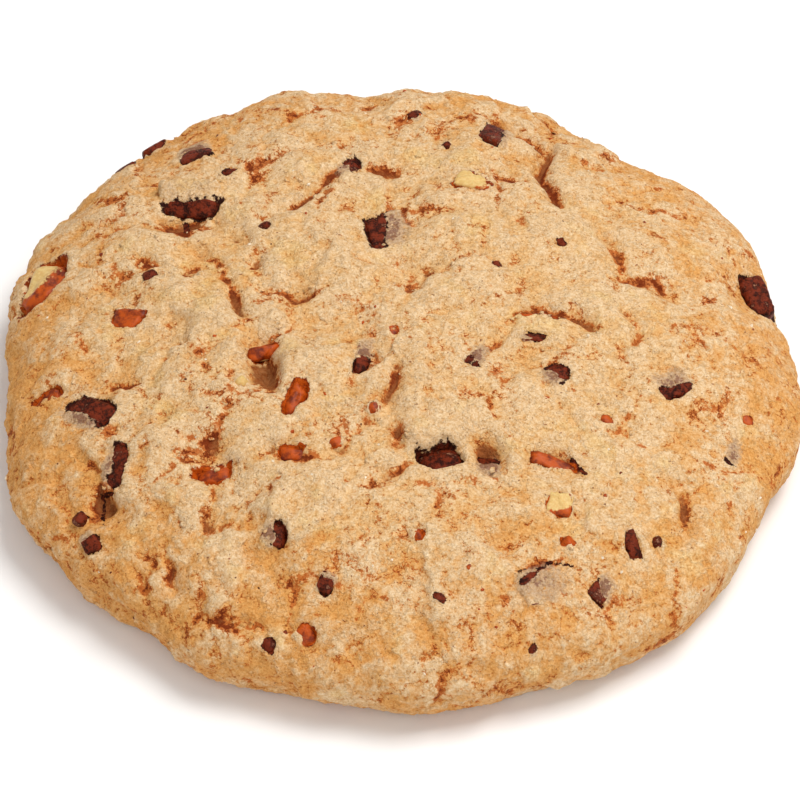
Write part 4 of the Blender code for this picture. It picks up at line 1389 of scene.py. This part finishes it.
class COOKIE_OT_dough(bpy.types.Operator):
    """Make the baked dough with its cracks, crumbs, films and openings"""

    bl_idname = "cookie.dough"
    bl_label = "Make the dough"

    def execute(self, context):
        """One closed surface: the fine skin and the flat underside."""
        shape = skin_of(context)
        side = SKIN_CELLS + 1
        points = shape.points().reshape(-1, 3)
        ring = outer_ring(side)
        points[ring, 2] = 0.0
        flat_points, flat_triangles = underside(points[ring, :2], side * side, ring)
        triangles = np.concatenate((grid_triangles(side), flat_triangles))
        surface = dough_material(context.scene.cookie_dough, context.scene.cookie_pieces)
        dough = mesh_object("cookie_dough", np.concatenate((points, flat_points)), triangles, surface)
        fields = {
            "crevice": (shape.crevice(), 0.10),
            "bake": (shape.bake(), 0.95),
            "gap": (shape.inside, 0.0),
            "film": (shape.film, 0.0),
        }
        fields.update({kind: (shown, 0.0) for kind, shown in shape.shows.items()})
        for name, (field, below) in fields.items():
            store(dough, name, np.concatenate((field.ravel(), np.full(len(flat_points), below))))
        finish_piece(dough, "dough", "dough")
        return {"FINISHED"}


class COOKIE_OT_chocolate(bpy.types.Operator):
    """Make every larger piece of chocolate in its pocket"""

    bl_idname = "cookie.chocolate"
    bl_label = "Make the chocolate"

    def execute(self, context):
        """A rounded broken chunk for each chocolate solid, dusty on its covered side."""
        surface = chocolate_material(context.scene.cookie_dough, context.scene.cookie_pieces)
        chunks = [lump for lump in skin_of(context).lumps if lump["name"].startswith("chocolate")]
        for seed, lump in enumerate(chunks, start=500):
            points, triangles, directions = chip_surface(lump, seed, 18.0, 0.08)
            chunk = mesh_object("piece_" + lump["name"], points, triangles, surface)
            bearing, share = FILM[lump["name"]][:2]
            toward = math.cos(math.radians(bearing)), math.sin(math.radians(bearing)), 0.0
            dust = 0.15 + 0.6 * share * (directions @ toward + 0.5) + 0.35 * ball_noise(points, 0.9, seed)
            store(chunk, "dust", np.clip(dust, 0, 1))
            finish_piece(chunk, "chocolate", lump["name"])
        return {"FINISHED"}


class COOKIE_OT_pecan(bpy.types.Operator):
    """Make every larger piece of pecan in its pocket"""

    bl_idname = "cookie.pecan"
    bl_label = "Make the pecan"

    def execute(self, context):
        """A furrowed nut piece with a broken face for each pecan solid."""
        surface = pecan_material(context.scene.cookie_pieces)
        nuts = [lump for lump in skin_of(context).lumps if lump["name"].startswith("pecan")]
        for seed, lump in enumerate(nuts, start=600):
            points, triangles, directions = chip_surface(lump, seed, 11.0, 0.11, 0.06)
            nut = mesh_object("piece_" + lump["name"], points, triangles, surface)
            toward = np.array(FLESH_SIDE.get(lump["name"], FLESH_BELOW))
            flesh = 0.30 + 0.55 * directions @ toward + 0.2 * ball_noise(points, 1.0, seed)
            store(nut, "flesh", np.clip(flesh, 0, 1))
            finish_piece(nut, "pecan", lump["name"])
        return {"FINISHED"}


class COOKIE_OT_bits(bpy.types.Operator):
    """Make the small bits of chocolate and pecan that are fused to the dough's solid"""

    bl_idname = "cookie.bits"
    bl_label = "Make the small bits"

    def execute(self, context):
        """One joined mesh of chocolate bits, and one of pecan bits with the pale kernel among them."""
        for kind, members, surface, channel in (
            ("chocolate", ("chocolate",), "dark_chocolate", "dust"),
            ("pecan", ("pecan", "kernel"), "pecan_nut", "flesh"),
        ):
            parts, marks = [], []
            for seed, lump in enumerate(skin_of(context).bits, start=700):
                if lump["kind"] in members:
                    points, triangles, _ = chip_surface(lump, seed, 9.0, 0.09)
                    parts.append((points, triangles))
                    pale = 0.5 * (lump["kind"] == "kernel")
                    marks.append(0.3 + pale + 0.3 * ball_noise(points, 0.8, seed))
            bits = mesh_object(f"small_{kind}_bits", *join_surfaces(parts), bpy.data.materials[surface])
            store(bits, channel, np.clip(np.concatenate(marks), 0, 1))
            finish_piece(bits, kind)
        return {"FINISHED"}


def scatter_places(shape, count, seed, weight):
    """Random grid points of the skin, drawn by weight and away from openings, deep hollows and the foot,
    with their normals, their grid numbers and the random generator."""
    rng = np.random.RandomState(seed)
    chance = weight * (1 - smooth_step(0.05, 0.4, shape.open)) * (1 - smooth_step(0.35, 0.6, shape.crevice()))
    chance *= np.hypot(shape.u, shape.v) < SCATTER_REACH * SKIN_LENGTH
    chance = chance.ravel() / chance.sum()
    picked = rng.choice(len(chance), size=count, replace=False, p=chance)
    points = shape.points().reshape(-1, 3)[picked]
    return points, shape.normal.reshape(-1, 3)[picked], picked, rng


def lump_swarm(points, normals, sizes, rng, rings, segments, flat, sink):
    """Many little lumps as one mesh: a rough ball at each place, its own random shape and turn.

    point = place + size * (ball point * random stretch * (1 + bump)) with the lump sunk along the normal.
    """
    directions, triangles = sphere_grid(rings, segments)
    count = len(points)
    bumps = 1 + rng.uniform(-0.28, 0.28, (count, len(directions), 1))
    stretch = rng.uniform(0.65, 1.25, (count, 1, 3)) * np.array((1.0, 1.0, flat))
    local = directions[None] * bumps * stretch
    turn = rng.uniform(0, 2 * math.pi, count)
    ahead = np.cross(normals, np.stack((np.cos(turn), np.sin(turn), 0 * turn), -1))
    ahead /= np.linalg.norm(ahead, axis=1, keepdims=True)
    axes = np.stack((ahead, np.cross(normals, ahead), normals), axis=1)
    placed = np.einsum("nvk,nkj->nvj", local * sizes[:, None, None], axes)
    placed += (points - normals * (sink * sizes)[:, None])[:, None]
    numbers = triangles[None] + (np.arange(count) * len(directions))[:, None, None]
    return placed.reshape(-1, 3), numbers.reshape(-1, 3), len(directions)


class COOKIE_OT_crumbs(bpy.types.Operator):
    """Make the crumbs of dough that stand out of the skin"""

    bl_idname = "cookie.crumbs"
    bl_label = "Make the crumbs"

    def execute(self, context):
        """One joined mesh of small rough lumps, thickest where the skin is roughest."""
        scene = context.scene
        shape = skin_of(context)
        count = scene.cookie_scatter.crumbs
        weight = (0.15 + shape.rough ** 2) * (0.3 + smooth_step(0.0, 0.5, shape.crevice()))
        points, normals, picked, rng = scatter_places(shape, count, 811, weight)
        sizes = 0.14 + 0.24 * rng.uniform(0, 1, count) ** 2.0
        placed, triangles, each = lump_swarm(points, normals, sizes, rng, 4, 5, 0.60, 0.30)
        surface = dough_material(scene.cookie_dough, scene.cookie_pieces, "crumb_dough", False)
        crumbs = mesh_object("dough_crumbs", placed, triangles, surface)
        # Painted shade: each crumb takes half the crevice shade of its place
        store(crumbs, "crevice", np.repeat(shape.crevice().ravel()[picked] * 0.5 - 0.05, each))
        store(crumbs, "gap", np.zeros(len(placed)))
        store(crumbs, "bake", np.repeat(shape.bake().ravel()[picked], each))
        finish_piece(crumbs, "dough")
        return {"FINISHED"}


class COOKIE_OT_specks(bpy.types.Operator):
    """Make the tiny specks of chocolate and pecan, and the sugar grains"""

    bl_idname = "cookie.specks"
    bl_label = "Make the specks and grains"

    def execute(self, context):
        """One joined mesh for each kind."""
        shape = skin_of(context)
        settings = context.scene.cookie_scatter
        for slot, (seed, share, surface, channel, mark, least, most) in SPECKS.items():
            count = int(settings.specks * share)
            points, normals, _, rng = scatter_places(shape, count, seed, np.ones(shape.u.shape))
            sizes = least + (most - least) * rng.uniform(0, 1, count) ** 1.6
            placed, triangles, _ = lump_swarm(points, normals, sizes, rng, 5, 7, 0.7, 0.45)
            specks = mesh_object(f"{slot}_specks", placed, triangles, bpy.data.materials[surface])
            store(specks, channel, np.full(len(placed), mark))
            finish_piece(specks, slot)
        points, normals, _, rng = scatter_places(shape, settings.grains, 829, 0.2 + shape.rough)
        sizes = rng.uniform(*GRAIN_SIZES, settings.grains)
        placed, triangles, _ = lump_swarm(points, normals, sizes, rng, 3, 4, 0.9, 0.35)
        grains = mesh_object("sugar_grains", placed, triangles, sugar_material(context.scene.cookie_pieces))
        grains.data.shade_flat()
        finish_piece(grains, "dough")
        return {"FINISHED"}


class COOKIE_PT_panel(bpy.types.Panel):
    """The cookie's settings and the steps that build it"""

    bl_label = "Chocolate Pecan Cookie"
    bl_idname = "COOKIE_PT_panel"
    bl_space_type = "VIEW_3D"
    bl_region_type = "UI"
    bl_category = "Cookie"

    def draw(self, context):
        """List every group of settings and every operator."""
        for name, group in SETTINGS.items():
            box = self.layout.box()
            for key in group.__annotations__:
                box.prop(getattr(context.scene, name), key)
        for operator in OPERATORS:
            self.layout.operator(operator.bl_idname)


SETTINGS = {
    "cookie_dough": DoughSettings,
    "cookie_pieces": PieceSettings,
    "cookie_scatter": ScatterSettings,
    "cookie_stage": StageSettings,
}
OPERATORS = (
    COOKIE_OT_stage,
    COOKIE_OT_dough,
    COOKIE_OT_chocolate,
    COOKIE_OT_pecan,
    COOKIE_OT_bits,
    COOKIE_OT_crumbs,
    COOKIE_OT_specks,
)
CLASSES = (*SETTINGS.values(), *OPERATORS, COOKIE_PT_panel)


def register():
    """Register every class and hang the settings on the scene."""
    for item in CLASSES:
        bpy.utils.register_class(item)
    for name, group in SETTINGS.items():
        setattr(bpy.types.Scene, name, PointerProperty(type=group))


def unregister():
    """Take the settings and every class away again."""
    for name in SETTINGS:
        delattr(bpy.types.Scene, name)
    for item in reversed(CLASSES):
        bpy.utils.unregister_class(item)


def main():
    """Build the whole cookie and its stage."""
    register()
    bpy.ops.cookie.stage()
    bpy.ops.cookie.dough()
    bpy.ops.cookie.chocolate()
    bpy.ops.cookie.pecan()
    bpy.ops.cookie.bits()
    bpy.ops.cookie.crumbs()
    bpy.ops.cookie.specks()


if __name__ == "__main__":
    main()
